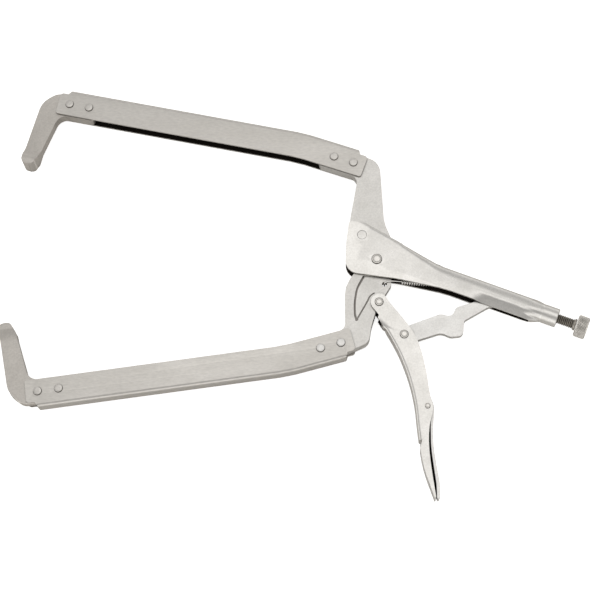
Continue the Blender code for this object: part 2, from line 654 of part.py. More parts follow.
def main():
    satin = material("satin_nickel_steel", (0.60, 0.59, 0.57), 0.34)
    bright = material("bright_rivet_steel", (0.66, 0.65, 0.63), 0.24)
    dark = material("oiled_thread_steel", (0.30, 0.29, 0.28), 0.42)

    frame = axis_empty("clamp_frame", (0, 0))
    jaw_axis = axis_empty("jaw_pivot_axis", JAW_PIVOT, frame)
    handle_axis = axis_empty("handle_pivot_axis", HANDLE_PIVOT, jaw_axis)
    link_axis = axis_empty("link_pivot_axis", LINK_PIVOT, handle_axis)
    release_axis = axis_empty("release_pivot_axis", RELEASE_PIVOT, handle_axis)
    screw_axis = axis_empty("screw_axis", GRIP.at(GRIP_LENGTH, SCREW_HEIGHT), frame)

    beam_half, grip_half, lever_half = BEAM_WIDTH / 2, GRIP_WIDTH / 2, LEVER_WIDTH / 2
    pieces = [(frame, satin, make_fixed_handle()), (frame, satin, make_arm()),
              (frame, satin, make_beam("upper_beam", UPPER)), (frame, satin, make_tip("upper_tip", UPPER)),
              (frame, bright, make_nose_pin()),
              (frame, bright, rivet("jaw_pivot_rivet", JAW_PIVOT, JAW_RIVET, grip_half)),
              (frame, satin, make_spring()),
              (jaw_axis, satin, make_jaw()), (jaw_axis, satin, make_beam("lower_beam", LOWER)),
              (jaw_axis, satin, make_tip("lower_tip", LOWER)),
              (handle_axis, satin, make_lower_handle()),
              (handle_axis, bright, rivet("handle_pivot_rivet", HANDLE_PIVOT, HANDLE_RIVET, lever_half)),
              (handle_axis, bright, rivet("link_rivet", LINK_PIVOT, HANDLE_RIVET, lever_half)),
              (handle_axis, bright, rivet("release_rivet", RELEASE_PIVOT, RELEASE_RIVET, lever_half)),
              (link_axis, satin, make_link()), (release_axis, satin, make_release_lever()),
              (screw_axis, dark, make_screw()), (screw_axis, satin, make_knob())]
    for name, beam, parent in (("upper", UPPER, frame), ("lower", LOWER, jaw_axis)):
        for i, centre in enumerate(beam.rivets()):
            pieces.append((parent, bright,
                           rivet(f"{name}_beam_rivet_{i + 1}", centre, BEAM_RIVET, beam_half)))

    for parent, finish, piece in pieces:
        piece.data.materials.clear()
        piece.data.materials.append(finish)
        piece.data.shade_smooth()
        piece.data.set_sharp_from_angle(angle=math.radians(30))
        adopt(parent, piece)

    # Lay the clamp on its pads, centred on its footprint.
    bpy.context.view_layer.update()
    graph = bpy.context.evaluated_depsgraph_get()
    low, high = Vector((1e9,) * 3), Vector((-1e9,) * 3)
    for _, _, piece in pieces:
        seen = piece.evaluated_get(graph)
        for vertex in seen.data.vertices:
            spot = seen.matrix_world @ vertex.co
            low = Vector(map(min, low, spot))
            high = Vector(map(max, high, spot))
    middle = (low + high) / 2
    shift = Vector((-middle.x, -middle.y, -low.z))
    frame.location = shift
    for cutter in CUTTERS.objects:
        cutter.location += shift


main()
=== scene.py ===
"""Dresses the locking C clamp's solids and lights them on a plain white table.

The solids give every place and joint.  Each class below makes one kind of piece of the
clamp, finer than its solid, and dresses it in a finish.  Lengths are in millimetres in the
clamp's own plan, with the jaw pivot as origin, unless a name or a docstring says metres.
"""
import json
import logging
import math
from collections.abc import Callable, Sequence
from dataclasses import dataclass, field
from enum import Enum

import bmesh
import bpy
from mathutils import Matrix, Vector


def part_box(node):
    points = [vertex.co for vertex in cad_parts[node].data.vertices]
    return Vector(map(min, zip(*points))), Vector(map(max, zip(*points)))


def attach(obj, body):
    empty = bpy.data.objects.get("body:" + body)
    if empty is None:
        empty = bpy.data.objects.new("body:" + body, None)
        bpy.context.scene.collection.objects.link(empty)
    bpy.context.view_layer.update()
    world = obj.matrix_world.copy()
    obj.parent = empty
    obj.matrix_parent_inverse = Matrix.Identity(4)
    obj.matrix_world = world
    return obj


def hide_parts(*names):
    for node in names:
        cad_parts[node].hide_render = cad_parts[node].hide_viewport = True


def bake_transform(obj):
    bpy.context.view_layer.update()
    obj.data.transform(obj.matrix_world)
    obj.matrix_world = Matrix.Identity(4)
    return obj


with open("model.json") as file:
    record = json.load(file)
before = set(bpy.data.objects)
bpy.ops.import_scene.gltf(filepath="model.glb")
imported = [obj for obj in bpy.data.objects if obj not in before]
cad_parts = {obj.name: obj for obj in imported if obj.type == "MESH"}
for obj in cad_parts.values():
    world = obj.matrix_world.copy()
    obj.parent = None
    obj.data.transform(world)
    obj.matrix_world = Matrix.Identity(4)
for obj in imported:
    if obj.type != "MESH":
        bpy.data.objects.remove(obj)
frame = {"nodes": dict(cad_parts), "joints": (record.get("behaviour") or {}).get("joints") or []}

LOG = logging.getLogger("clamp")
MM = 0.001
CHANNEL_HALF = 4.9       # middle plane to the inside of a channel's wall
TAB_HOLE = (64.0, 4.15)  # the hole for the spring's rear hook, along and across the grip
Point = tuple[float, float]
Mesh = bmesh.types.BMesh


class Body(Enum):
    """The rigid bodies of the clamp."""

    FRAME = "frame"
    JAW = "jaw"
    HANDLE = "handle"
    LINK = "link"
    RELEASE = "release"
    SCREW = "screw"
    KNOB = "knob"


class Slot(Enum):
    """The record's material slots."""

    SATIN = "satin_nickel_steel"
    BRIGHT = "bright_rivet_steel"
    THREAD = "oiled_thread_steel"


# ---- places ------------------------------------------------------------------------------------
def joint(name: str) -> dict:
    """Finds a joint of the record.

    Args:
        name: The joint's name.

    Returns:
        Its entry, with pos_m and axis.
    """
    return next(j for j in frame["joints"] if j["name"] == name)


@dataclass(frozen=True)
class Place:
    """A plane frame in the clamp's plan: an origin in metres and two unit directions."""

    origin: Vector
    along: Vector
    across: Vector

    def at(self, x: float, y: float, z: float = 0.0) -> Vector:
        """Turns millimetres in this frame into a point in metres.

        Args:
            x: Distance along the first direction.
            y: Distance along the second direction.
            z: Height above the middle plane of the plates.

        Returns:
            The point in metres.
        """
        return self.origin + (self.along * x + self.across * y + Vector((0, 0, z))) * MM

    def local(self, point: Vector) -> Vector:
        """Turns a point in metres into millimetres in this frame.

        Args:
            point: The point.

        Returns:
            Its x, y and height above the middle plane.
        """
        offset = (point - self.origin) / MM
        return Vector((offset.dot(self.along), offset.dot(self.across), offset.z))


def middle_of(node: str) -> Vector:
    """Gives the middle of a node's box.

    Args:
        node: The node's name.

    Returns:
        The middle of its box, in metres.
    """
    low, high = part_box(node)
    return (Vector(low) + Vector(high)) / 2


def half_size_of(node: str) -> Vector:
    """Gives half the size of a node's box.

    Args:
        node: The node's name.

    Returns:
        Half its length, width and height, in millimetres.
    """
    low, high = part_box(node)
    return (Vector(high) - Vector(low)) / 2 / MM


PIVOT = Vector(joint("jaw_pivot")["pos_m"])
SCREW_AXIS = Vector(joint("knob_turn")["axis"]).normalized()
PLAN = Place(PIVOT, Vector((1, 0, 0)), Vector((0, 1, 0)))
GRIP = Place(PIVOT, SCREW_AXIS, Vector((-SCREW_AXIS.y, SCREW_AXIS.x, 0)))


def tip_place(side: str, across_sign: int) -> Place:
    """Gives the frame of a tip, from the two rivets that hold it.

    Args:
        side: "upper" or "lower".
        across_sign: 1 or -1, so that y points to the throat.

    Returns:
        A frame at the outer rivet, with x away from the beam.
    """
    outer, inner = (middle_of(f"{side}_beam_rivet_{i}") for i in (3, 4))
    along = outer - inner
    along.z = 0
    along.normalize()
    return Place(Vector((outer.x, outer.y, PIVOT.z)), along,
                 Vector((-along.y, along.x, 0)) * across_sign)


# ---- finishes ----------------------------------------------------------------------------------
def linear(code: str) -> tuple[float, float, float, float]:
    """Turns an sRGB colour code into linear light.

    Args:
        code: Six hexadecimal digits.

    Returns:
        Red, green, blue and alpha.
    """
    parts = [int(code[i:i + 2], 16) / 255 for i in (0, 2, 4)]
    return (*[p / 12.92 if p <= 0.04045 else ((p + 0.055) / 1.055) ** 2.4 for p in parts], 1.0)


def add(tree: bpy.types.NodeTree, kind: str, settings: dict | None = None,
        links: dict | None = None) -> bpy.types.Node:
    """Adds a shader node.

    Args:
        tree: The node tree.
        kind: The node's type without the ShaderNode prefix.
        settings: Attributes by name, and input values by input name or number.
        links: Output sockets by input name or number.

    Returns:
        The node.
    """
    node = tree.nodes.new("ShaderNode" + kind)
    for key, value in (settings or {}).items():
        if isinstance(key, str) and hasattr(node, key):
            setattr(node, key, value)
        else:
            node.inputs[key].default_value = value
    for key, socket in (links or {}).items():
        tree.links.new(socket, node.inputs[key])
    return node


def ramp(tree: bpy.types.NodeTree, source: bpy.types.NodeSocket, start: float, end: float,
         low: float, high: float) -> bpy.types.NodeSocket:
    """Maps a value from one range to another, clamped.

    Args:
        tree: The node tree.
        source: The value.
        start: Source value that gives low.
        end: Source value that gives high.
        low: Result at start.
        high: Result at end.

    Returns:
        The mapped value's socket.
    """
    node = add(tree, "MapRange", {"From Min": start, "From Max": end, "To Min": low, "To Max": high},
               {"Value": source})
    return node.outputs["Result"]


def noise(tree: bpy.types.NodeTree, place: bpy.types.NodeSocket, scale: float, detail: float,
          roughness: float = 0.5) -> bpy.types.NodeSocket:
    """Reads a noise pattern.

    Args:
        tree: The node tree.
        place: The coordinates.
        scale: How many blobs there are to one unit of them.
        detail: How many finer layers it has.
        roughness: How strong the finer layers are.

    Returns:
        The pattern's socket, from 0 to 1.
    """
    return add(tree, "TexNoise", {"Scale": scale, "Detail": detail, "Roughness": roughness},
               {"Vector": place}).outputs["Fac"]


def multiplied(tree: bpy.types.NodeTree, colour: bpy.types.NodeSocket,
               factor: bpy.types.NodeSocket) -> bpy.types.NodeSocket:
    """Darkens or brightens a colour.

    Args:
        tree: The node tree.
        colour: The colour.
        factor: What it is multiplied by.

    Returns:
        The changed colour's socket.
    """
    return add(tree, "MixRGB", {"blend_type": "MULTIPLY", "Fac": 1.0},
               {"Color1": colour, "Color2": factor}).outputs["Color"]


@dataclass(frozen=True)
class MetalFinish:
    """A plated or bare steel surface with grain, blotches, worn edges and painted shade in its corners.

    Attributes:
        name: The material's name: the metal and how it was worked.
        colour: Clean colour, as an sRGB code.
        shade: Colour of the duller blotches.
        roughness: Roughness of the surface before the blotches and grain vary it.
        grain_mm: Size of the fine tumbled or blasted grain.
        grain_depth_mm: How deep the grain is.
        blotch_mm: Size of the dull patches.
        stretch: How far the grain is drawn out along the clamp's length.
        edge_gain: How much brighter rubbed edges are.
        corner_shade: How much painted shade darkens the corners, from 0 to 1.
        shade_reach_mm: How far the painted shade spreads from a corner.
    """

    name: str
    colour: str
    shade: str
    roughness: float
    grain_mm: float = 0.5
    grain_depth_mm: float = 0.012
    blotch_mm: float = 14.0
    stretch: float = 1.0
    edge_gain: float = 0.12
    corner_shade: float = 0.5
    shade_reach_mm: float = 2.5

    def material(self) -> bpy.types.Material:
        """Gives the finish's material, made once.

        Returns:
            The material.
        """
        known = bpy.data.materials.get(self.name)
        if known is not None:
            return known
        made = bpy.data.materials.new(self.name)
        made.use_nodes = True
        tree = made.node_tree
        shader = tree.nodes["Principled BSDF"]
        shader.inputs["Metallic"].default_value = 1.0

        # Object coordinates in millimetres, so that pattern sizes are real ones.
        place = add(tree, "TexCoord").outputs["Object"]
        real = add(tree, "Mapping", {"Scale": (1 / MM / self.stretch, 1 / MM, 1 / MM)},
                   {"Vector": place}).outputs["Vector"]
        grain = noise(tree, real, 1 / self.grain_mm, 3.0, 0.6)
        blotch = noise(tree, real, 1 / self.blotch_mm, 4.0, 0.62)
        speck = noise(tree, real, 0.8, 2.0)

        # The eye reads plating by its slow dull patches and by a fine, uneven sparkle.
        base = add(tree, "MixRGB", {"Color1": linear(self.colour), "Color2": linear(self.shade)},
                   {"Fac": ramp(tree, blotch, 0.3, 0.72, 0.0, 0.7)}).outputs["Color"]
        fine = multiplied(tree, base, ramp(tree, speck, 0.3, 0.7, 0.92, 1.05))

        # Handling rubs the edges brighter, and painted shade, read from ambient occlusion, darkens the
        # corners.
        point = add(tree, "NewGeometry").outputs["Pointiness"]
        rubbed = multiplied(tree, fine, ramp(tree, point, 0.5, 0.58, 1.0, 1.0 + self.edge_gain))
        open_air = add(tree, "AmbientOcclusion", {"Distance": self.shade_reach_mm * MM, "samples": 8})
        painted_shade_factor = ramp(tree, open_air.outputs["AO"], 0.25, 0.85, 1.0 - self.corner_shade, 1.0)
        tree.links.new(multiplied(tree, rubbed, painted_shade_factor), shader.inputs["Base Color"])

        rough = add(tree, "Math", {"operation": "ADD"},
                    {0: ramp(tree, blotch, 0.3, 0.7, self.roughness - 0.02, self.roughness + 0.03),
                     1: ramp(tree, grain, 0.3, 0.7, -0.03, 0.04)}).outputs["Value"]
        tree.links.new(rough, shader.inputs["Roughness"])
        bump = add(tree, "Bump", {"Strength": 0.35, "Distance": self.grain_depth_mm * MM},
                   {"Height": grain}).outputs["Normal"]
        tree.links.new(bump, shader.inputs["Normal"])
        return made


@dataclass(frozen=True)
class TableFinish:
    """White table paper, bright to the camera and a little greyer in reflections.

    Attributes:
        name: The material's name.
        colour: Paper colour, as an sRGB code.
        mirrored: Its colour in reflections.
        lift: Light added where the camera sees it, as from a lit sweep.
    """

    name: str = "white_table_paper"
    colour: str = "f4f3f1"
    mirrored: str = "e4e2df"
    lift: float = 0.75

    def material(self) -> bpy.types.Material:
        """Makes the paper's material.

        Returns:
            The material.
        """
        made = bpy.data.materials.new(self.name)
        made.use_nodes = True
        tree = made.node_tree
        shader = tree.nodes["Principled BSDF"]
        shader.inputs["Roughness"].default_value = 0.9
        place = add(tree, "TexCoord").outputs["Object"]
        fibre = noise(tree, place, 900.0, 2.0)
        seen = add(tree, "LightPath").outputs["Is Camera Ray"]
        base = add(tree, "MixRGB", {"Color1": linear(self.mirrored), "Color2": linear(self.colour)},
                   {"Fac": seen}).outputs["Color"]
        tint = multiplied(tree, base, ramp(tree, fibre, 0.3, 0.7, 0.99, 1.0))
        tree.links.new(tint, shader.inputs["Base Color"])
        shader.inputs["Emission Color"].default_value = (1.0, 1.0, 1.0, 1.0)
        glow = add(tree, "Math", {"operation": "MULTIPLY", 1: self.lift}, {0: seen}).outputs["Value"]
        tree.links.new(glow, shader.inputs["Emission Strength"])
        return made


# Forged plates: tumbled before plating, so soft and slightly mottled.
FORGED = MetalFinish("tumbled_nickel_on_forged_steel", "d8d5d0", "cdcac4", 0.38, grain_mm=0.6,
                     grain_depth_mm=0.02, corner_shade=0.75, shade_reach_mm=2.0)
# Tips: the same forging, duller from the weld spatter and smoke that they meet.
TIP = MetalFinish("dulled_nickel_on_forged_steel", "c2bdb6", "b8b3ac", 0.42, grain_mm=0.7,
                  grain_depth_mm=0.016, corner_shade=0.8, shade_reach_mm=1.6)
# Beams: folded strip, with the faint length of its rolling left in the plating.
STRIP = MetalFinish("satin_nickel_on_rolled_strip", "cbc7c1", "c1bdb6", 0.36, grain_mm=0.45, stretch=3.0,
                    blotch_mm=20.0)
# Handles: pressed and polished sheet, the brightest of the large surfaces.
PRESSED = MetalFinish("polished_nickel_on_pressed_sheet", "dcd9d4", "d0cdc7", 0.30, grain_mm=0.4,
                      grain_depth_mm=0.008, blotch_mm=16.0)
# Link and release lever: blanked plate, bright and flat.
BLANKED = MetalFinish("bright_nickel_on_blanked_plate", "dedcd8", "d3d0cb", 0.34, grain_mm=0.4)
# Rivet heads: bright where the set tool pressed them.
HEADED = MetalFinish("bright_nickel_on_headed_rivet", "d9d5cf", "cac6bf", 0.20, grain_mm=0.3,
                     grain_depth_mm=0.005, blotch_mm=3.0, edge_gain=0.2, corner_shade=0.75, shade_reach_mm=1.6)
# Beam rivets: pressed nearly flush and tumbled with the beams.
PRESSED_FLAT = MetalFinish("tumbled_nickel_on_flat_rivet", "d2cec8", "c6c2bb", 0.34, grain_mm=0.4,
                           blotch_mm=3.0, corner_shade=0.85, shade_reach_mm=1.2)
# Pocket edges: painted shade in the pressed groove, the dark line along the pocket's wall.
GROOVE_SHADE = MetalFinish("painted_shade_in_pressed_groove", "a39e98", "918c86", 0.5, grain_mm=0.5, edge_gain=0.0,
                     corner_shade=0.5, shade_reach_mm=1.5)
# Insides of the channels, rivet seats and the sheet behind the release lever: painted shade, almost black.
PAINTED_SHADE = MetalFinish("painted_shade_almost_black", "38332e", "241f1b", 0.62, grain_mm=0.9,
                     grain_depth_mm=0.03, edge_gain=0.0, corner_shade=0.8, shade_reach_mm=6.0)
# Screw: rolled thread, dark with oil, with painted shade in its roots.
THREAD = MetalFinish("oiled_rolled_thread_steel", "9a958d", "7c776f", 0.36, grain_mm=0.25,
                     blotch_mm=4.0, edge_gain=0.5, corner_shade=0.9, shade_reach_mm=0.9)
# Knob: nickel over cut knurling, with painted shade between the points.
KNURL = MetalFinish("nickel_on_cut_knurling", "d2cec7", "c6c2bb", 0.28, grain_mm=0.3, blotch_mm=5.0,
                    edge_gain=0.5, corner_shade=0.55, shade_reach_mm=0.5)
# Spring: bright drawn wire, its colour lifted near white to paint the light that falls on the coil.
WIRE = MetalFinish("bright_drawn_spring_wire", "f1efeb", "e6e3dd", 0.28, grain_mm=0.3, blotch_mm=3.0,
                   corner_shade=0.15, shade_reach_mm=0.4)


# ---- shaping helpers ---------------------------------------------------------------------------
def polar(centre: Point, radius: float, degrees: float) -> Point:
    """Gives a point at a distance and direction from another.

    Args:
        centre: The other point.
        radius: The distance.
        degrees: The direction.

    Returns:
        The point.
    """
    turn = math.radians(degrees)
    return (centre[0] + radius * math.cos(turn), centre[1] + radius * math.sin(turn))


def rounded(corners: Sequence[tuple[Point, float]], step: float = 7.0) -> list[Point]:
    """Rounds the corners of an outline.

    Args:
        corners: Points, each with the radius of its fillet.
        step: Degrees between points on a fillet.

    Returns:
        The outline's points.
    """
    result: list[Point] = []
    for i, (corner, radius) in enumerate(corners):
        here = Vector(corner)
        before = Vector(corners[i - 1][0]) - here
        after = Vector(corners[(i + 1) % len(corners)][0]) - here
        turn = math.pi - before.angle(after)
        if radius <= 0 or turn < math.radians(1):
            result.append(tuple(here))
            continue
        half = (math.pi - turn) / 2
        back = min(radius / math.tan(half), 0.48 * before.length, 0.48 * after.length)
        radius = back * math.tan(half)
        a, b = before.normalized(), after.normalized()
        centre = here + (a + b).normalized() * radius / math.sin(half)
        spoke = here + a * back - centre
        signed = turn if a.cross(b) < 0 else -turn
        count = max(1, round(math.degrees(turn) / step))
        result += [tuple(centre + Matrix.Rotation(signed * k / count, 2) @ spoke) for k in range(count + 1)]
    return result


def distance_to(line: Sequence[Point], point: Vector) -> float:
    """Measures how far a point is from a chain of straight lines.

    Args:
        line: The chain's points.
        point: The point, of which only x and y count.

    Returns:
        The shortest distance.
    """
    here, best = Vector((point.x, point.y)), 1e9
    for a, b in zip(line, line[1:]):
        start, run = Vector(a), Vector(b) - Vector(a)
        share = min(1.0, max(0.0, (here - start).dot(run) / run.length_squared))
        best = min(best, (start + run * share - here).length)
    return best


def ease(value: float, start: float, end: float) -> float:
    """Rises smoothly from 0 at start to 1 at end.

    Args:
        value: Where to read the curve.
        start: Where it begins to rise.
        end: Where it has risen.

    Returns:
        A share from 0 to 1.
    """
    share = min(1.0, max(0.0, (value - start) / (end - start)))
    return share * share * (3 - 2 * share)


def prism(loop: Sequence[Vector], half: float) -> Mesh:
    """Makes a closed prism about the middle plane.

    Args:
        loop: Outline points in metres, at the height of the middle plane.
        half: Half its thickness, in millimetres.

    Returns:
        Its mesh, in metres.
    """
    bm = bmesh.new()
    lift = Vector((0, 0, half * MM))
    face = bm.faces.new([bm.verts.new(p - lift) for p in loop])
    raised = bmesh.ops.extrude_face_region(bm, geom=[face])
    top = [v for v in raised["geom"] if isinstance(v, bmesh.types.BMVert)]
    bmesh.ops.translate(bm, verts=top, vec=lift * 2)
    bmesh.ops.recalc_face_normals(bm, faces=bm.faces)
    return bm


def heights_of(face: bmesh.types.BMFace) -> list[float]:
    """Measures how far a face's corners are from the middle plane.

    Args:
        face: The face.

    Returns:
        The distances, in millimetres.
    """
    return [abs(PLAN.local(v.co).z) for v in face.verts]


def divide(bm: Mesh, point: Vector, normal: Vector) -> None:
    """Divides a mesh's faces where a plane crosses them.

    Args:
        bm: The mesh.
        point: A point on the plane, in metres.
        normal: The direction square to it.
    """
    bmesh.ops.bisect_plane(bm, geom=[*bm.verts, *bm.edges, *bm.faces], dist=1e-6,
                           plane_co=point, plane_no=normal)


def join(bm: Mesh, other: Mesh) -> None:
    """Adds a closed shell to a mesh.

    Args:
        bm: The mesh that gains the shell.
        other: The shell, which is freed.
    """
    mesh = bpy.data.meshes.new("shell")
    other.to_mesh(mesh)
    other.free()
    bm.from_mesh(mesh)
    bpy.data.meshes.remove(mesh)


def ring(bm: Mesh, radii: Sequence[float], height: float) -> list[bmesh.types.BMVert]:
    """Adds a ring of points round the Z axis.

    Args:
        bm: The mesh.
        radii: Each point's distance from the axis, in millimetres.
        height: The ring's height, in millimetres.

    Returns:
        The points, in order.
    """
    step = math.tau / len(radii)
    return [bm.verts.new((r * math.cos(k * step) * MM, r * math.sin(k * step) * MM, height * MM))
            for k, r in enumerate(radii)]


def bridge(bm: Mesh, rings: Sequence[list[bmesh.types.BMVert]]) -> None:
    """Joins each ring of points to the next with faces.

    Args:
        bm: The mesh.
        rings: Rings with the same number of points.
    """
    for a, b in zip(rings, rings[1:]):
        for k in range(len(a)):
            n = (k + 1) % len(a)
            bm.faces.new((a[k], a[n], b[n], b[k]))


def as_object(bm: Mesh, name: str) -> bpy.types.Object:
    """Turns a mesh in progress into an object in the scene.

    Args:
        bm: The mesh, which is freed.
        name: The object's name.

    Returns:
        The object.
    """
    mesh = bpy.data.meshes.new(name)
    bm.to_mesh(mesh)
    bm.free()
    made = bpy.data.objects.new(name, mesh)
    bpy.context.scene.collection.objects.link(made)
    return made


def carve(solid: Mesh, cutters: Sequence[Mesh],
          operation: str = "DIFFERENCE") -> Mesh:
    """Cuts solids out of another, or joins them to it.

    Args:
        solid: The solid, which is freed.
        cutters: The others, which are freed.
        operation: The Boolean operation.

    Returns:
        The result.
    """
    base = as_object(solid, "carve_base")
    helpers = [as_object(cutter, "carve_tool") for cutter in cutters]
    for helper in helpers:
        step = base.modifiers.new("cut", "BOOLEAN")
        step.object, step.operation, step.solver = helper, operation, "EXACT"
    bpy.context.view_layer.update()
    result = bmesh.new()
    result.from_object(base, bpy.context.evaluated_depsgraph_get())
    for old in [base, *helpers]:
        bpy.data.objects.remove(old, do_unlink=True)
    return result


def turned(profile: Sequence[Point], place: Matrix, steps: int = 48) -> Mesh:
    """Spins a profile round its own Z axis and puts it in place.

    Args:
        profile: Points (radius, height) in millimetres, which start and end on the axis.
        place: Where the axis goes, in metres.
        steps: Points round the axis.

    Returns:
        The closed mesh.
    """
    bm = bmesh.new()
    points = [bm.verts.new((r * MM, 0, z * MM)) for r, z in profile]
    edges = [bm.edges.new(pair) for pair in zip(points, points[1:])]
    bmesh.ops.spin(bm, geom=[*points, *edges], cent=(0, 0, 0), axis=(0, 0, 1), angle=math.tau,
                   steps=steps, use_merge=True)
    bmesh.ops.remove_doubles(bm, verts=bm.verts, dist=1e-7)
    bmesh.ops.recalc_face_normals(bm, faces=bm.faces)
    bmesh.ops.transform(bm, matrix=place, verts=bm.verts)
    return bm


def along_screw(x: float = 0.0) -> Matrix:
    """Gives the place of something turned about the screw's axis.

    Args:
        x: Distance from the jaw pivot, along the handle.

    Returns:
        A matrix whose Z axis runs out of the handle.
    """
    turn = SCREW_AXIS.to_track_quat("Z", "Y").to_matrix().to_4x4()
    turn.translation = GRIP.at(x, GRIP.local(Vector(joint("knob_turn")["pos_m"])).y)
    return turn


# ---- pieces ------------------------------------------------------------------------------------
@dataclass
class Piece:
    """A visible piece that stands for one or more solids and rides on a body.

    Attributes:
        name: Its name.
        body: The body that it moves with.
        finish: Its outside finish.
        nodes: The nodes of the solids that it stands for.
        slot: The record's material slot; not used.
        inside: The finish of its second material, if it has one.
        smooth_angle: Edges sharper than this stay crisp, in degrees.
    """

    name: str
    body: Body
    finish: MetalFinish
    nodes: tuple[str, ...]
    slot: Slot = Slot.SATIN
    inside: MetalFinish | None = None
    smooth_angle: float = 40.0

    def shape(self) -> Mesh:
        """Builds the piece's mesh.

        Returns:
            The mesh, in metres.
        """
        raise NotImplementedError

    def build(self) -> bpy.types.Object:
        """Builds the piece, dresses it and hangs it on its body.

        Returns:
            The finished object.
        """
        made = as_object(self.shape(), self.name)
        made.data.materials.append(self.finish.material())
        if self.inside is not None:
            made.data.materials.append(self.inside.material())
        made.data.shade_smooth()
        made.data.set_sharp_from_angle(angle=math.radians(self.smooth_angle))
        normals = made.modifiers.new("flat faces stay flat", "WEIGHTED_NORMAL")
        normals.keep_sharp = True
        normals.weight = 80
        self.hang(made)
        LOG.info("%s: %d faces", self.name, len(made.data.polygons))
        return made

    def hang(self, made: bpy.types.Object) -> None:
        """Hangs the object on the body that it moves with and hides the solids that it stands for.

        Args:
            made: The finished object.
        """
        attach(made, self.body.value)
        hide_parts(*self.nodes)


@dataclass
class Refined(Piece):
    """A piece with its solid's shape, and edges broken as the real one's are.

    Attributes:
        edge: Width of the broken edges.
        wide_edge: Width of the edges that the test picks.
        is_wide: Test on an edge's two ends, in plan millimetres.
        segments: Faces across a broken edge.
    """

    edge: float = 0.3
    wide_edge: float = 0.0
    is_wide: Callable[[Vector, Vector], bool] | None = None
    segments: int = 2

    def shape(self) -> Mesh:
        """Copies the node, cleans it and breaks its edges.

        Returns:
            The mesh.
        """
        bm = bmesh.new()
        bm.from_mesh(frame["nodes"][self.nodes[0]].data)
        bmesh.ops.remove_doubles(bm, verts=bm.verts, dist=2e-6)
        bmesh.ops.dissolve_limit(bm, angle_limit=math.radians(0.4), verts=bm.verts, edges=bm.edges)
        for face in bm.faces:
            face.material_index = 0
        if self.inside is not None:
            self.mark_inside(bm)
        self.adjust(bm)
        self.break_edges(bm)
        bmesh.ops.recalc_face_normals(bm, faces=bm.faces)
        return bm

    def adjust(self, bm: Mesh) -> None:
        """Changes the cleaned shape before its edges are broken; most pieces need nothing.

        Args:
            bm: The mesh.
        """

    def mark_inside(self, bm: Mesh) -> None:
        """Gives the second material, the painted shade, to the inner faces of a channel.

        Args:
            bm: The mesh.
        """
        for face in bm.faces:
            if abs(max(heights_of(face)) - CHANNEL_HALF) < 0.05:
                face.material_index = 1

    def break_edges(self, bm: Mesh) -> None:
        """Bevels the convex edges, wide ones first.

        Args:
            bm: The mesh.
        """
        def sharp(edge: bmesh.types.BMEdge) -> bool:
            return (len(edge.link_faces) == 2 and edge.is_convex
                    and edge.calc_face_angle(0.0) > math.radians(38))

        if self.is_wide is not None:
            picked = [e for e in bm.edges if sharp(e)
                      and self.is_wide(PLAN.local(e.verts[0].co), PLAN.local(e.verts[1].co))]
            bmesh.ops.bevel(bm, geom=picked, offset=self.wide_edge * MM, segments=3, profile=0.5,
                            affect="EDGES", clamp_overlap=True, material=-1)
        rest = [e for e in bm.edges if sharp(e)]
        bmesh.ops.bevel(bm, geom=rest, offset=self.edge * MM, segments=self.segments, profile=0.5,
                        affect="EDGES", clamp_overlap=True, material=-1)


@dataclass
class TipFinger(Refined):
    """A tip, with the corners of its pad ground round.

    Attributes:
        place: The tip's frame.
        middle: Middle of the pad along the frame's x.
        half: Half the pad's width.
        face: The pad's height in the frame.
        corner: Radius of the pad's ground corners.
    """

    place: Place = PLAN
    middle: float = 20.5
    half: float = 5.5
    face: float = 58.0
    corner: float = 4.4

    def adjust(self, bm: Mesh) -> None:
        """Grinds the upright corners of the pad.

        Args:
            bm: The mesh.
        """
        start = self.face - self.corner
        for i in range(8):
            height = start + self.corner * math.sin(math.radians(5 + 11 * i))
            divide(bm, self.place.at(0, height), self.place.across)
        for vertex in bm.verts:
            spot = self.place.local(vertex.co)
            rise = min(spot.y - start, self.corner)
            if rise <= 0:
                continue
            wide = self.half - self.corner + math.sqrt(self.corner ** 2 - rise ** 2)
            off = spot.x - self.middle
            if abs(off) > wide:
                vertex.co = self.place.at(self.middle + math.copysign(wide, off), spot.y, spot.z)


@dataclass
class Channel(Refined):
    """A beam, whose lower flange carries almost black painted shade inside, but not at its open ends."""

    def adjust(self, bm: Mesh) -> None:
        """Takes the painted shade off the inner faces beyond the outermost rivets.

        Args:
            bm: The mesh.
        """
        rivets = [middle_of(f"{self.nodes[0]}_rivet_{i}") for i in range(1, 5)]
        middle = sum(rivets, Vector()) / 4
        for outer, inner in ((rivets[0], rivets[1]), (rivets[2], rivets[3])):
            if (outer - middle).length < (inner - middle).length:
                outer, inner = inner, outer
            run = (outer - inner).normalized()
            edge = outer + run * 1.0 * MM
            divide(bm, edge, run)
            for face in bm.faces:
                if (face.calc_center_median() - edge).dot(run) > 0:
                    face.material_index = 0


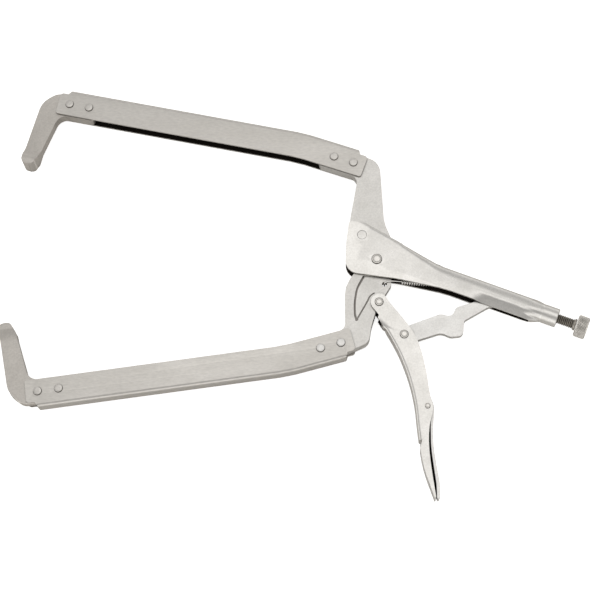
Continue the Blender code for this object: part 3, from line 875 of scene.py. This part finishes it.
@dataclass
class JawPlate(Refined):
    """The moving jaw, with the pressed groove that rims its pocket.

    Attributes:
        pocket_floor: Height of the pocket's floor above the middle plane.
        groove: Width of the groove.
        depth: Its depth below the pocket's floor.
    """

    pocket_floor: float = 3.15
    groove: float = 1.5
    depth: float = 0.6

    def strip(self, line: Sequence[Point], inward: float) -> list[Point]:
        """Widens one arm of the groove from a line along the pocket's wall.

        Args:
            line: Points along the wall, in the plan.
            inward: 1 or -1, the side of the line that the pocket is on.

        Returns:
            The arm's outline.
        """
        near_side, far_side = [], []
        for i, spot in enumerate(line):
            run = Vector(line[min(i + 1, len(line) - 1)]) - Vector(line[max(i - 1, 0)])
            run.normalize()
            step = Vector((-run.y, run.x)) * inward
            near_side.append(tuple(Vector(spot) + step * 0.05))
            far_side.append(tuple(Vector(spot) + step * self.groove))
        return [*near_side, *reversed(far_side)]

    def shape(self) -> Mesh:
        """Presses the groove into the cleaned plate and gives it the painted shade.

        Returns:
            The mesh.
        """
        pin = PLAN.local(middle_of("handle_pivot_rivet"))
        ear = [polar((pin.x, pin.y), 8.2, 165 - 9 * i) for i in range(7)]
        front = rounded([((-11.0, -12.9), 0), ((-16.6, -23.0), 20), ((-18.5, -35.0), 20),
                         ((-18.4, -44.0), 12), ((-17.2, -49.3), 0)])
        rear = rounded([((-16.3, -50.5), 0), ((-8.9, -37.6), 0), *[(p, 0) for p in ear]])
        foot = [polar((-16.2, -48.9), 1.25, 24 * i) for i in range(15)]
        low = self.pocket_floor - self.depth
        bm = super().shape()
        for outline in (self.strip(front, 1), self.strip(rear, 1), foot):
            cutters = []
            for sign in (1, -1):
                cutter = prism([PLAN.at(*p) for p in outline], 3.0)
                bmesh.ops.translate(cutter, verts=cutter.verts, vec=(0, 0, sign * (low + 3.0) * MM))
                cutters.append(cutter)
            bm = carve(bm, cutters)
        # The groove's floor and walls take the painted shade.
        for face in bm.faces:
            heights = heights_of(face)
            if min(heights) < low + 0.02 and max(heights) < self.pocket_floor + 0.02:
                face.material_index = 1
        bmesh.ops.recalc_face_normals(bm, faces=bm.faces)
        return bm


@dataclass
class ReleaseStrap(Refined):
    """The release lever, with a dark sheet behind it that closes the handle: painted shade in the gap
    between them.

    Attributes:
        shade_sheet_half: Half the dark sheet's thickness.
        shade_sheet_z: Its height above the middle plane.
    """

    shade_sheet_half: float = 0.4
    shade_sheet_z: float = -3.6

    def shape(self) -> Mesh:
        """Adds the dark sheet of painted shade to the cleaned strap.

        Returns:
            The mesh.
        """
        bm = super().shape()
        line = [((39.6, -128.0), 0), ((39.8, -140.0), 60), ((40.0, -152.0), 60), ((42.0, -168.0), 60),
                ((43.9, -181.0), 60), ((43.4, -189.6), 0), ((42.0, -189.8), 0), ((40.3, -181.0), 60),
                ((37.2, -167.0), 60), ((35.6, -152.0), 60), ((35.4, -137.0), 60), ((35.6, -128.0), 0)]
        flange = prism([PLAN.at(*p) for p in rounded(line)], self.shade_sheet_half)
        bmesh.ops.translate(flange, verts=flange.verts, vec=(0, 0, self.shade_sheet_z * MM))
        # The sheet takes the almost black painted shade.
        for face in flange.faces:
            face.material_index = 1
        join(bm, flange)
        return bm


@dataclass
class FixedHandle(Piece):
    """The folded fixed handle: flat cheeks that close into a round-backed tube and a collar.

    Attributes:
        half: Middle plane to the outside of a cheek.
        length: Jaw pivot to the end face, along the screw.
        top: Back of the grip above the jaw pivot.
        bottom: Edge of the cheeks.
        sheet: Sheet thickness.
        tube_start: Where the cheeks close under the screw.
        collar_start: Where the round collar begins.
        collar_radius: The collar's radius.
        bore_radius: Radius of the hole for the screw.
        axis_y: The screw's axis above the jaw pivot.
        nose: Where the back begins, in the plan.
        bend: Where the back turns into the grip, in the plan.
        web_start: Where the folded back begins between the cheeks, in the plan.
        back_slope: Slope of the back before the bend, in degrees.
        back: Points along the back, in the plan.
    """

    half: float = 6.8
    length: float = 147.2
    top: float = 14.05
    bottom: float = -4.05
    sheet: float = 1.9
    tube_start: float = 97.0
    collar_start: float = 134.0
    collar_radius: float = 7.4
    bore_radius: float = 4.1
    axis_y: float = 5.95
    nose: Point = (-9.5, 31.0)
    bend: Point = (49.5, -4.5)
    web_start: float = 11.8
    back_slope: float = -31.1
    back: list[Point] = field(default_factory=list)

    def grip_point(self, x: float, y: float) -> Point:
        """Turns a point along the grip into the plan.

        Args:
            x: Distance along the screw's direction.
            y: Distance square to it.

        Returns:
            The point in the plan.
        """
        spot = PLAN.local(GRIP.at(x, y))
        return (spot.x, spot.y)

    def shape(self) -> Mesh:
        """Cuts the blank, then draws its back and its underside round.

        Returns:
            The mesh.
        """
        neck = self.grip_point(self.length - 18, self.top)
        over, under = (self.grip_point(self.collar_start + 2, self.axis_y + side * 6.6) for side in (1, -1))
        self.back = [self.nose, self.bend, neck, over]
        outline = rounded([((-21.4, 32.8), 2.5), (self.nose, 12), (self.bend, 40), (neck, 20), (over, 2),
                           (under, 2), (self.grip_point(self.length - 20, self.bottom), 12),
                           (self.grip_point(58, self.bottom), 60), ((16.0, -16.4), 60),
                           ((-24.8, -10.0), 11), ((-24.2, 12.0), 80)])
        blank = prism([PLAN.at(*p) for p in outline], self.half)
        slope, start = math.tan(math.radians(self.back_slope)), self.web_start
        web = (self.bend[0] - 0.7, self.bend[1] - self.sheet * 1.08)
        floor, end_wall = self.bottom + 1.8, self.length - 17
        cavity = [(start, 60), (start, web[1] + (start - web[0]) * slope), web,
                  self.grip_point(end_wall, self.top - self.sheet), self.grip_point(end_wall, floor),
                  self.grip_point(self.tube_start, floor), self.grip_point(self.tube_start, -60),
                  (-60, -90), (-60, 60)]
        slot = [(self.tube_start - 4, self.bottom - 5), (self.length - 20.5, self.bottom - 5),
                (self.length - 20.5, floor + 1), (self.tube_start - 4, floor + 1)]
        cutters = [prism([PLAN.at(*p) for p in cavity], CHANNEL_HALF),
                   prism([GRIP.at(*p) for p in slot], 2.9)]
        for node, radius in (("jaw_pivot_rivet", 3.7), ("nose_pin", 3.8)):
            centre = PLAN.local(middle_of(node))
            ring = [polar((centre.x, centre.y), radius, 7.5 * i) for i in range(48)]
            cutters.append(prism([PLAN.at(*p) for p in ring], 20))
        bm = carve(blank, cutters)
        # Inner faces of the cheeks, past the nose, take the almost black painted shade.
        for face in bm.faces:
            inner = (2.5 < max(heights_of(face)) < CHANNEL_HALF + 0.05
                     and max(PLAN.local(v.co).x for v in face.verts) > 6.0)
            face.material_index = 1 if inner else 0
        self.slice(bm)
        for vertex in bm.verts:
            spot = PLAN.local(vertex.co)
            vertex.co.z = PIVOT.z + self.drawn(spot, GRIP.local(vertex.co)) * MM
        rim = [e for e in bm.edges if e.is_manifold and e.is_convex
               and e.calc_face_angle(0.0) > math.radians(55)]
        bmesh.ops.bevel(bm, geom=rim, offset=0.22 * MM, segments=2, profile=0.5, affect="EDGES",
                        clamp_overlap=True, material=-1)
        self.add_collar(bm)
        self.add_tab(bm)
        bmesh.ops.recalc_face_normals(bm, faces=bm.faces)
        return bm

    def slice(self, bm: Mesh) -> None:
        """Divides the flat cheeks where they will be drawn round.

        Args:
            bm: The mesh.
        """
        for i in range(75):
            divide(bm, GRIP.at(-16.0 + 2.1 * i, 0), GRIP.along)
        depths = (0.12, 0.4, 0.8, 1.35, 2.0, 2.8, 3.7, 4.8, 6.2, 8.0, 10.0, 12.0)
        nose_run = Vector((*self.back[1], 0)) - Vector((*self.back[0], 0))
        nose_side = Vector((nose_run.y, -nose_run.x, 0)).normalized()
        for depth in depths:
            divide(bm, GRIP.at(0, self.top - depth), GRIP.across)
            divide(bm, GRIP.at(0, self.bottom + depth * 0.8), GRIP.across)
            if depth < 8:
                divide(bm, PLAN.at(*(Vector((*self.back[0], 0)) + nose_side * depth).xy), nose_side)

    def drawn(self, spot: Vector, grip: Vector) -> float:
        """Gives the drawn height of a point of the flat blank.

        Args:
            spot: The point in the plan.
            grip: The same point along the grip.

        Returns:
            Its new height above the middle plane.
        """
        side = 1 if spot.z > 0 else -1
        # The back's radius grows from a tight fold at the nose to the full tube.
        radius = 2.6 + 5.5 * ease(grip.x, -4.0, 66.0)
        drop = min(5.6, radius) if grip.x > 14.0 else 1.5
        depth = distance_to(self.back, spot)
        outer = self.half
        if depth < radius:
            outer -= drop * (1 - math.sqrt(1 - (1 - depth / radius) ** 2))
        # The cheek leans in a little above a low crest that runs to the tube.
        outer -= 0.5 * ease(grip.x, 14.0, 60.0) * ease(grip.y, -1.0, 9.0)
        # The cheeks' edges curl under the screw behind a short shoulder.
        curl = ease(grip.x, 79.0, 91.0)
        below = 7.4 - (grip.y - self.bottom)
        if curl > 0 and below > 0:
            outer -= 0.5 * curl * below ** 2 / (below + 0.9)
        # The tube necks down into the round collar, and ends just inside it.
        neck = ease(grip.x, 120.0, 132.5)
        if neck > 0:
            off = min(abs(grip.y - self.axis_y), self.collar_radius - 0.3)
            round_half = math.sqrt(self.collar_radius ** 2 - off ** 2)
            outer += (round_half + (0.03 if grip.x < 134.5 else -0.25) - outer) * neck
        if abs(spot.z) > CHANNEL_HALF + 0.5:
            return side * outer
        return side * min(abs(spot.z), max(outer - 1.0, 0.3))

    def add_collar(self, bm: Mesh) -> None:
        """Adds the round collar with its bore.

        Args:
            bm: The handle's mesh.
        """
        r, bore, start, end = self.collar_radius, self.bore_radius, self.collar_start, self.length
        profile = [(bore, start), (r - 1.2, start), (r - 0.25, start + 0.7), (r, start + 1.8),
                   (r, end - 0.7), (r - 0.2, end - 0.2), (r - 0.7, end), (bore + 0.5, end),
                   (bore, end - 0.5), (bore, start)]
        join(bm, turned(profile, along_screw(), 64))

    def add_tab(self, bm: Mesh) -> None:
        """Adds the tab inside that the spring hooks on.

        Args:
            bm: The handle's mesh.
        """
        corners = [((60.6, 13.1), 0), ((60.6, 1.85), 2.2), ((67.4, 1.85), 2.2), ((67.4, 13.1), 0)]
        tab = prism([GRIP.at(*p) for p in rounded(corners)], 0.78)
        hole = prism([GRIP.at(*polar(TAB_HOLE, 1.2, 15 * i)) for i in range(24)], 3)
        join(bm, carve(tab, [hole]))


@dataclass
class Rivet(Piece):
    """A headed rivet: low domes over a seat ring painted almost black as shade.

    Attributes:
        dome: How round the head is: 0 is flat, 1 is a full dome.
        shank_share: The shank's radius over the head's.
        flange_share: The dome's radius over the head's.
    """

    dome: float = 1.0
    shank_share: float = 0.74
    flange_share: float = 0.92
    inside: MetalFinish | None = PAINTED_SHADE
    smooth_angle: float = 50.0

    def shape(self) -> Mesh:
        """Turns the rivet from its node's size.

        Returns:
            The mesh.
        """
        head, _, top = half_size_of(self.nodes[0])
        shank, flange = head * self.shank_share, head * self.flange_share
        rise = 1.3 if head > 2.5 else 0.85
        seat, rows = top - rise, 9
        crown = (rise - 0.2) * self.dome
        turns = [math.radians(90 * i / rows) for i in range(rows + 1)]
        cap = [(flange * math.sin(turn), top - crown * (1 - math.cos(turn)) ** 1.6) for turn in turns]
        profile = [*cap, (flange, seat + 0.12), (head, seat + 0.08), (head, seat), (shank, seat)]
        profile[0] = (0.0, top)
        whole = profile + [(r, -z) for r, z in reversed(profile)]
        middle = middle_of(self.nodes[0])
        bm = turned(whole, Matrix.Translation((middle.x, middle.y, PIVOT.z)), 40)
        # The seat ring round the head takes the almost black painted shade.
        for face in bm.faces:
            if abs(PLAN.local(face.calc_center_median()).z) < seat + 0.11:
                face.material_index = 1
        return bm


@dataclass
class FlushPin(Piece):
    """A pin that is ground flush with the cheeks, with a fine ring round it."""

    def shape(self) -> Mesh:
        """Turns the pin from its node's size.

        Returns:
            The mesh.
        """
        radius, _, top = half_size_of(self.nodes[0])
        half = [(0.0, top), (radius - 0.35, top), (radius - 0.1, top - 0.1), (radius, top - 0.35)]
        middle = middle_of(self.nodes[0])
        return turned(half + [(r, -z) for r, z in reversed(half)],
                      Matrix.Translation((middle.x, middle.y, PIVOT.z)), 48)


@dataclass
class Screw(Piece):
    """The adjusting screw's rod with its rolled thread.

    Attributes:
        radius: Outer radius of the thread.
        depth: Depth of the thread.
        pitch: Distance between turns.
        start: Tip of the screw, along the grip.
        end: Where the thread runs out.
        shoulder: Radius and length of the plain shoulder before the knob.
    """

    radius: float = 3.95
    depth: float = 0.78
    pitch: float = 1.411
    start: float = 123.2
    end: float = 160.4
    shoulder: Point = (4.6, 1.6)
    smooth_angle: float = 50.0

    def shape(self) -> Mesh:
        """Winds the thread as a grid, then closes its ends.

        Returns:
            The mesh.
        """
        around, per_pitch = 40, 8
        rows = int((self.end - self.start) / self.pitch * per_pitch)
        bm = bmesh.new()
        rings = []
        for i in range(rows + 1):
            x = self.start + (self.end - self.start) * i / rows
            fade = min(1.0, (x - self.start) / 1.0, (self.end - x) / 0.8 + 0.05)
            chamfer = 1.0 * (1 - min(1.0, (x - self.start) / 1.1))
            radii = []
            for k in range(around):
                phase = (x / self.pitch - k / around) % 1.0
                crest = max(0.0, min(1.0, (abs(phase - 0.5) * 2 - 0.12) / 0.72))
                radii.append(self.radius - chamfer - self.depth * (1 - crest) * fade)
            rings.append(ring(bm, radii, x))
        radius, length = self.shoulder
        for r, x in ((radius - 0.15, self.end), (radius, self.end + 0.2),
                     (radius, self.end + length - 0.4), (radius - 0.4, self.end + length)):
            rings.append(ring(bm, [r] * around, x))
        bridge(bm, rings)
        bm.faces.new(list(reversed(rings[0])))
        bm.faces.new(rings[-1])
        bmesh.ops.transform(bm, matrix=along_screw(), verts=bm.verts)
        bmesh.ops.recalc_face_normals(bm, faces=bm.faces)
        return bm


@dataclass
class Knob(Piece):
    """The knob: crossed knurling between two chamfers, and turned end faces.

    Attributes:
        teeth: Knurl points round the knob.
        depth: Depth of the knurling.
    """

    teeth: int = 34
    depth: float = 0.5
    smooth_angle: float = 25.0

    def shape(self) -> Mesh:
        """Presses the knurl into a turned blank.

        Returns:
            The mesh.
        """
        corners = [GRIP.local(v.co).x for v in frame["nodes"][self.nodes[0]].data.vertices]
        start, end = min(corners), max(corners)
        radius = half_size_of(self.nodes[0]).z
        chamfer, around, rows = 1.0, self.teeth * 8, 44
        pitch = math.tau * radius / self.teeth
        bm = bmesh.new()
        rings = []

        def groove(k: int, x: float) -> float:
            # Two crossed grooves leave diamonds between them.
            turn = k / around * self.teeth
            a, b = (turn + x / pitch) % 1.0, (turn - x / pitch) % 1.0
            return max(1 - abs(a - 0.5) * 5.0, 1 - abs(b - 0.5) * 5.0, 0.0)

        for x, r in ((start + 0.35, radius * 0.52), (start, radius * 0.56), (start, radius - chamfer)):
            rings.append(ring(bm, [r] * around, x))
        for i in range(rows + 1):
            share = i / rows
            x = start + 0.02 + (end - start - 0.04) * share
            r = radius - max(0.0, chamfer - (x - start), chamfer - (end - x)) * 0.98
            cut = self.depth * ease(min(x - start, end - x), 0.3, chamfer + 0.1)
            rings.append(ring(bm, [r - cut * groove(k, x) for k in range(around)], x))
        for x, r in ((end, radius - chamfer), (end, radius * 0.6), (end - 0.4, radius * 0.55)):
            rings.append(ring(bm, [r] * around, x))
        bridge(bm, rings)
        for verts, x in ((rings[0], start + 0.35), (rings[-1], end - 0.4)):
            hub = bm.verts.new((0, 0, x * MM))
            for k in range(around):
                bm.faces.new((verts[k], verts[(k + 1) % around], hub))
        bmesh.ops.transform(bm, matrix=along_screw(), verts=bm.verts)
        bmesh.ops.recalc_face_normals(bm, faces=bm.faces)
        return bm


@dataclass
class Spring(Piece):
    """The return spring: hooked over the jaw's lobe, coiled inside the fixed handle.

    Attributes:
        wire: Wire radius.
        coil: Coil radius to the middle of the wire.
        turns: Turns of the coil.
    """

    wire: float = 0.5
    coil: float = 1.7
    turns: int = 18
    smooth_angle: float = 80.0

    def route(self) -> list[Vector]:
        """Lays out the middle of the wire.

        Returns:
            Points in the plan, in millimetres.
        """
        first, last = Vector((18.3, -17.2, 0)), Vector((52.2, -19.4, 0))
        run = last - first
        along = run.normalized()
        side = Vector((-along.y, along.x, 0))
        points = [Vector(p) for p in ((5.9, -19.9, -2.6), (5.7, -19.7, 0.0), (5.5, -19.4, 2.3),
                                      (5.9, -18.9, 3.6), (7.2, -18.2, 4.05), (9.3, -17.7, 4.05),
                                      (12.0, -17.4, 3.7), (15.0, -17.2, 2.6))]
        count = self.turns * 16
        for i in range(count + 1):
            turn = math.tau * i / 16
            points.append(first + run * i / count + side * (self.coil * math.sin(turn))
                          + Vector((0, 0, self.coil * math.cos(turn))))
        end = PLAN.local(GRIP.at(*TAB_HOLE))
        points += [Vector((end.x - 5.5, end.y + 0.1, 1.6)), Vector((end.x - 2.0, end.y, 1.7)),
                   Vector((end.x - 0.3, end.y, 1.2)), Vector((end.x, end.y, 0.0)),
                   Vector((end.x - 0.3, end.y, -1.2)), Vector((end.x - 1.5, end.y, -1.9))]
        return points

    def shape(self) -> Mesh:
        """Sweeps the wire along its route.

        Returns:
            The mesh.
        """
        curve = bpy.data.curves.new("wire_route", "CURVE")
        curve.dimensions, curve.resolution_u = "3D", 1
        curve.bevel_depth, curve.bevel_resolution = self.wire * MM, 3
        curve.use_fill_caps = True
        spline = curve.splines.new("POLY")
        points = self.route()
        spline.points.add(len(points) - 1)
        for knot, spot in zip(spline.points, points):
            knot.co = (*PLAN.at(*spot), 1)
        helper = bpy.data.objects.new("wire_route", curve)
        bpy.context.scene.collection.objects.link(helper)
        bpy.context.view_layer.update()
        mesh = bpy.data.meshes.new_from_object(helper.evaluated_get(bpy.context.evaluated_depsgraph_get()))
        bm = bmesh.new()
        bm.from_mesh(mesh)
        bpy.data.objects.remove(helper, do_unlink=True)
        bpy.data.curves.remove(curve)
        bpy.data.meshes.remove(mesh)
        bmesh.ops.remove_doubles(bm, verts=bm.verts, dist=1e-6)
        bmesh.ops.recalc_face_normals(bm, faces=bm.faces)
        for face in bm.faces:
            face.material_index = 0
        return bm

    def hang(self, made: bpy.types.Object) -> None:
        """Bakes the spring's place into its mesh, on no body, and hides its solid.

        Args:
            made: The finished object.
        """
        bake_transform(made)
        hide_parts(*self.nodes)


# ---- sub-assemblies ----------------------------------------------------------------------------
@dataclass
class Reach:
    """One side of the long reach: a channel beam, its tip and its four rivets.

    Attributes:
        side: "upper" or "lower".
        body: The body that it moves with.
        sign: 1 or -1, so that y in the tip's frame points to the throat.
    """

    side: str
    body: Body
    sign: int

    def is_rubbed(self, a: Vector, b: Vector) -> bool:
        """Tells whether an edge is on the throat side or round the pad of the tip.

        Args:
            a: One end, in the plan.
            b: The other end.

        Returns:
            True for the edges that are broken wide.
        """
        place = tip_place(self.side, self.sign)
        ends = [place.local(PLAN.at(*p)) for p in (a, b)]
        inner = [(-30.0, 10.1), (6.3, 10.1), (15.0, 57.5)]
        return all(distance_to(inner, p) < 2.6 for p in ends) or all(p.y > 50.0 for p in ends)

    def build(self) -> None:
        """Builds the beam, the tip and the rivets."""
        name = f"{self.side}_beam"
        Channel(f"{name}_channel", self.body, STRIP, (name,), inside=PAINTED_SHADE, edge=0.28).build()
        TipFinger(f"{self.side}_tip_finger", self.body, TIP, (f"{self.side}_tip",), edge=0.45,
                  wide_edge=1.6, is_wide=self.is_rubbed,
                  place=tip_place(self.side, self.sign)).build()
        for i in range(1, 5):
            node = f"{self.side}_beam_rivet_{i}"
            bright = self.side == "lower" and i < 3
            Rivet(f"{node}_head", self.body, BLANKED if bright else PRESSED_FLAT, (node,), Slot.BRIGHT,
                  dome=0.25).build()


@dataclass
class Jaws:
    """The forged plates and the fixed handle round the jaw pivot."""

    def build(self) -> None:
        """Builds the arm, the moving jaw, the fixed handle, its pins and the spring."""
        Refined("fixed_arm_plate", Body.FRAME, FORGED, ("fixed_jaw_arm",), edge=0.6, segments=3).build()
        JawPlate("moving_jaw_plate", Body.JAW, FORGED, ("moving_jaw",), inside=GROOVE_SHADE, edge=0.5,
                 segments=3).build()
        FixedHandle("fixed_handle_shell", Body.FRAME, PRESSED, ("fixed_handle",), inside=PAINTED_SHADE).build()
        FlushPin("nose_pin_flush", Body.FRAME, PRESSED, ("nose_pin",), Slot.BRIGHT).build()
        Rivet("jaw_pivot_rivet_head", Body.FRAME, HEADED, ("jaw_pivot_rivet",), Slot.BRIGHT).build()
        Spring("return_spring_wire", Body.FRAME, WIRE, ("return_spring",)).build()


@dataclass
class Toggle:
    """The lower handle, the toggle link and the release lever.

    Attributes:
        fold_end: Where the rounded fold on the handle's back ends, in the plan.
        tip_end: Where its tip begins.
        middle: A point halfway across the handle between them.
        lean: How far the handle leans for each millimetre towards its tip.
    """

    fold_end: float = -148.0
    tip_end: float = -187.0
    middle: Point = (35.6, -166.0)
    lean: float = 0.22

    def is_grip_back(self, one: Vector, two: Vector) -> bool:
        """Picks the edges of the handle's back between its rounded fold and its tip.

        Args:
            one: One end of the edge, in plan millimetres.
            two: The other end.

        Returns:
            Whether the edge gets the wide rounding.
        """
        return all(self.tip_end < p.y < self.fold_end and abs(p.z) > CHANNEL_HALF
                   and p.x < self.middle[0] + (self.middle[1] - p.y) * self.lean for p in (one, two))

    def build(self) -> None:
        """Builds the three pieces and their rivets."""
        Refined("lower_handle_shell", Body.HANDLE, PRESSED, ("lower_handle",), inside=PAINTED_SHADE,
                edge=0.25, wide_edge=1.3, is_wide=self.is_grip_back).build()
        Refined("toggle_link_plate", Body.LINK, BLANKED, ("toggle_link",), edge=0.3).build()
        ReleaseStrap("release_lever_strap", Body.RELEASE, BLANKED, ("release_lever",), inside=PAINTED_SHADE,
                     edge=0.6, segments=3).build()
        for node in ("handle_pivot_rivet", "link_rivet", "release_rivet"):
            Rivet(f"{node}_head", Body.HANDLE, HEADED, (node,), Slot.BRIGHT).build()


@dataclass
class Adjuster:
    """The adjusting screw and its knob."""

    def build(self) -> None:
        """Builds both pieces."""
        Screw("adjusting_screw_thread", Body.SCREW, THREAD, ("adjusting_screw",), Slot.THREAD).build()
        Knob("adjusting_knob_knurled", Body.KNOB, KNURL, ("adjusting_knob",)).build()


# ---- studio ------------------------------------------------------------------------------------
@dataclass(frozen=True)
class Panel:
    """A soft light panel.

    Attributes:
        name: Its name.
        place: Where it stands, in metres from the clamp.
        size: Width and height, in metres.
        power: Power in watts.
        colour: Light colour, as an sRGB code.
    """

    name: str
    place: tuple[float, float, float]
    size: tuple[float, float]
    power: float
    colour: str = "ffffff"

    def build(self, target: Vector) -> None:
        """Hangs the panel, facing the clamp.

        Args:
            target: What it faces.
        """
        light = bpy.data.lights.new(self.name, "AREA")
        light.shape, light.size, light.size_y = "RECTANGLE", *self.size
        light.energy = self.power
        light.color = linear(self.colour)[:3]
        made = bpy.data.objects.new(self.name, light)
        made.location = target + Vector(self.place)
        made.rotation_euler = (-Vector(self.place)).to_track_quat("-Z", "Y").to_euler()
        bpy.context.scene.collection.objects.link(made)


@dataclass
class Studio:
    """The table, the lights and the camera.

    Attributes:
        target: The plan point that the camera looks at.
        direction: Direction from it to the camera.
        distance_mm: Distance to the camera.
        lens: Focal length on a 36 mm sensor.
        panels: The soft lights.
    """

    target: Point = (-64.34, -26.54)
    direction: tuple[float, float, float] = (0.04055, -0.33214, 0.94234)
    distance_mm: float = 1443.0
    lens: float = 112.55
    panels: tuple[Panel, ...] = (
        Panel("overhead_panel", (-0.05, 0.45, 1.5), (1.1, 0.7), 0.9),
    )

    def build(self) -> None:
        """Builds the table, lights and camera."""
        self.table()
        self.world()
        for panel in self.panels:
            panel.build(PLAN.at(*self.target))
        self.camera()

    def table(self) -> None:
        """Lays the table paper under the clamp."""
        bm = bmesh.new()
        bmesh.ops.create_grid(bm, x_segments=1, y_segments=1, size=6.0)
        bmesh.ops.translate(bm, verts=bm.verts, vec=(0, 0, -0.0002))
        paper = as_object(bm, "table_paper")
        paper.data.materials.append(TableFinish().material())

    def world(self) -> None:
        """Surrounds the table with a bright ceiling, a darker ring below it and white low walls."""
        scene = bpy.context.scene
        scene.world = bpy.data.worlds.new("studio_walls")
        scene.world.use_nodes = True
        tree = scene.world.node_tree
        background = tree.nodes["Background"]
        way = add(tree, "TexCoord").outputs["Generated"]
        facing = add(tree, "VectorMath", {"operation": "DOT_PRODUCT", 1: (0.12, 0.2, 0.97)}, {0: way})
        ring = add(tree, "ValToRGB", links={"Fac": facing.outputs["Value"]})
        stops = ((0.0, 1.3), (0.3, 1.25), (0.52, 0.75), (0.68, 0.42), (0.88, 0.45), (0.955, 0.95),
                 (1.0, 1.06))
        ring.color_ramp.elements.remove(ring.color_ramp.elements[0])
        for i, (place, level) in enumerate(stops):
            stop = ring.color_ramp.elements[0] if i == 0 else ring.color_ramp.elements.new(place)
            stop.position, stop.color = place, (level, level, level, 1.0)
        parts = add(tree, "SeparateXYZ", links={0: way}).outputs
        behind = ramp(tree, parts["Y"], 0.35, 0.85, 0.0, 0.30)
        level = add(tree, "Math", {"operation": "MAXIMUM"}, {0: ring.outputs["Color"], 1: add(
            tree, "Math", {"operation": "ADD", 1: 0.38}, {0: behind}).outputs["Value"]})
        tree.links.new(level.outputs["Value"], background.inputs["Strength"])
        background.inputs["Color"].default_value = linear("ffffff")
        scene.view_settings.view_transform = "Standard"
        scene.view_settings.look = "None"

    def camera(self) -> None:
        """Sets up the camera."""
        lens = bpy.data.cameras.new("camera")
        lens.lens, lens.sensor_width = self.lens, 36.0
        lens.clip_start, lens.clip_end = 0.05, 20.0
        back = Vector(self.direction).normalized()
        right = Vector((0, 1, 0)).cross(back).normalized()
        turn = Matrix((right, back.cross(right), back)).transposed().to_4x4()
        turn.translation = PLAN.at(*self.target) + back * self.distance_mm * MM
        made = bpy.data.objects.new("camera", lens)
        made.matrix_world = turn
        bpy.context.scene.collection.objects.link(made)
        bpy.context.scene.camera = made


def main() -> None:
    """Builds every piece, then the studio."""
    logging.basicConfig(level=logging.INFO, format="%(name)s %(message)s")
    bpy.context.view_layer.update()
    Reach("upper", Body.FRAME, 1).build()
    Reach("lower", Body.JAW, -1).build()
    Jaws().build()
    Toggle().build()
    Adjuster().build()
    Studio().build()


if __name__ == "__main__":
    main()
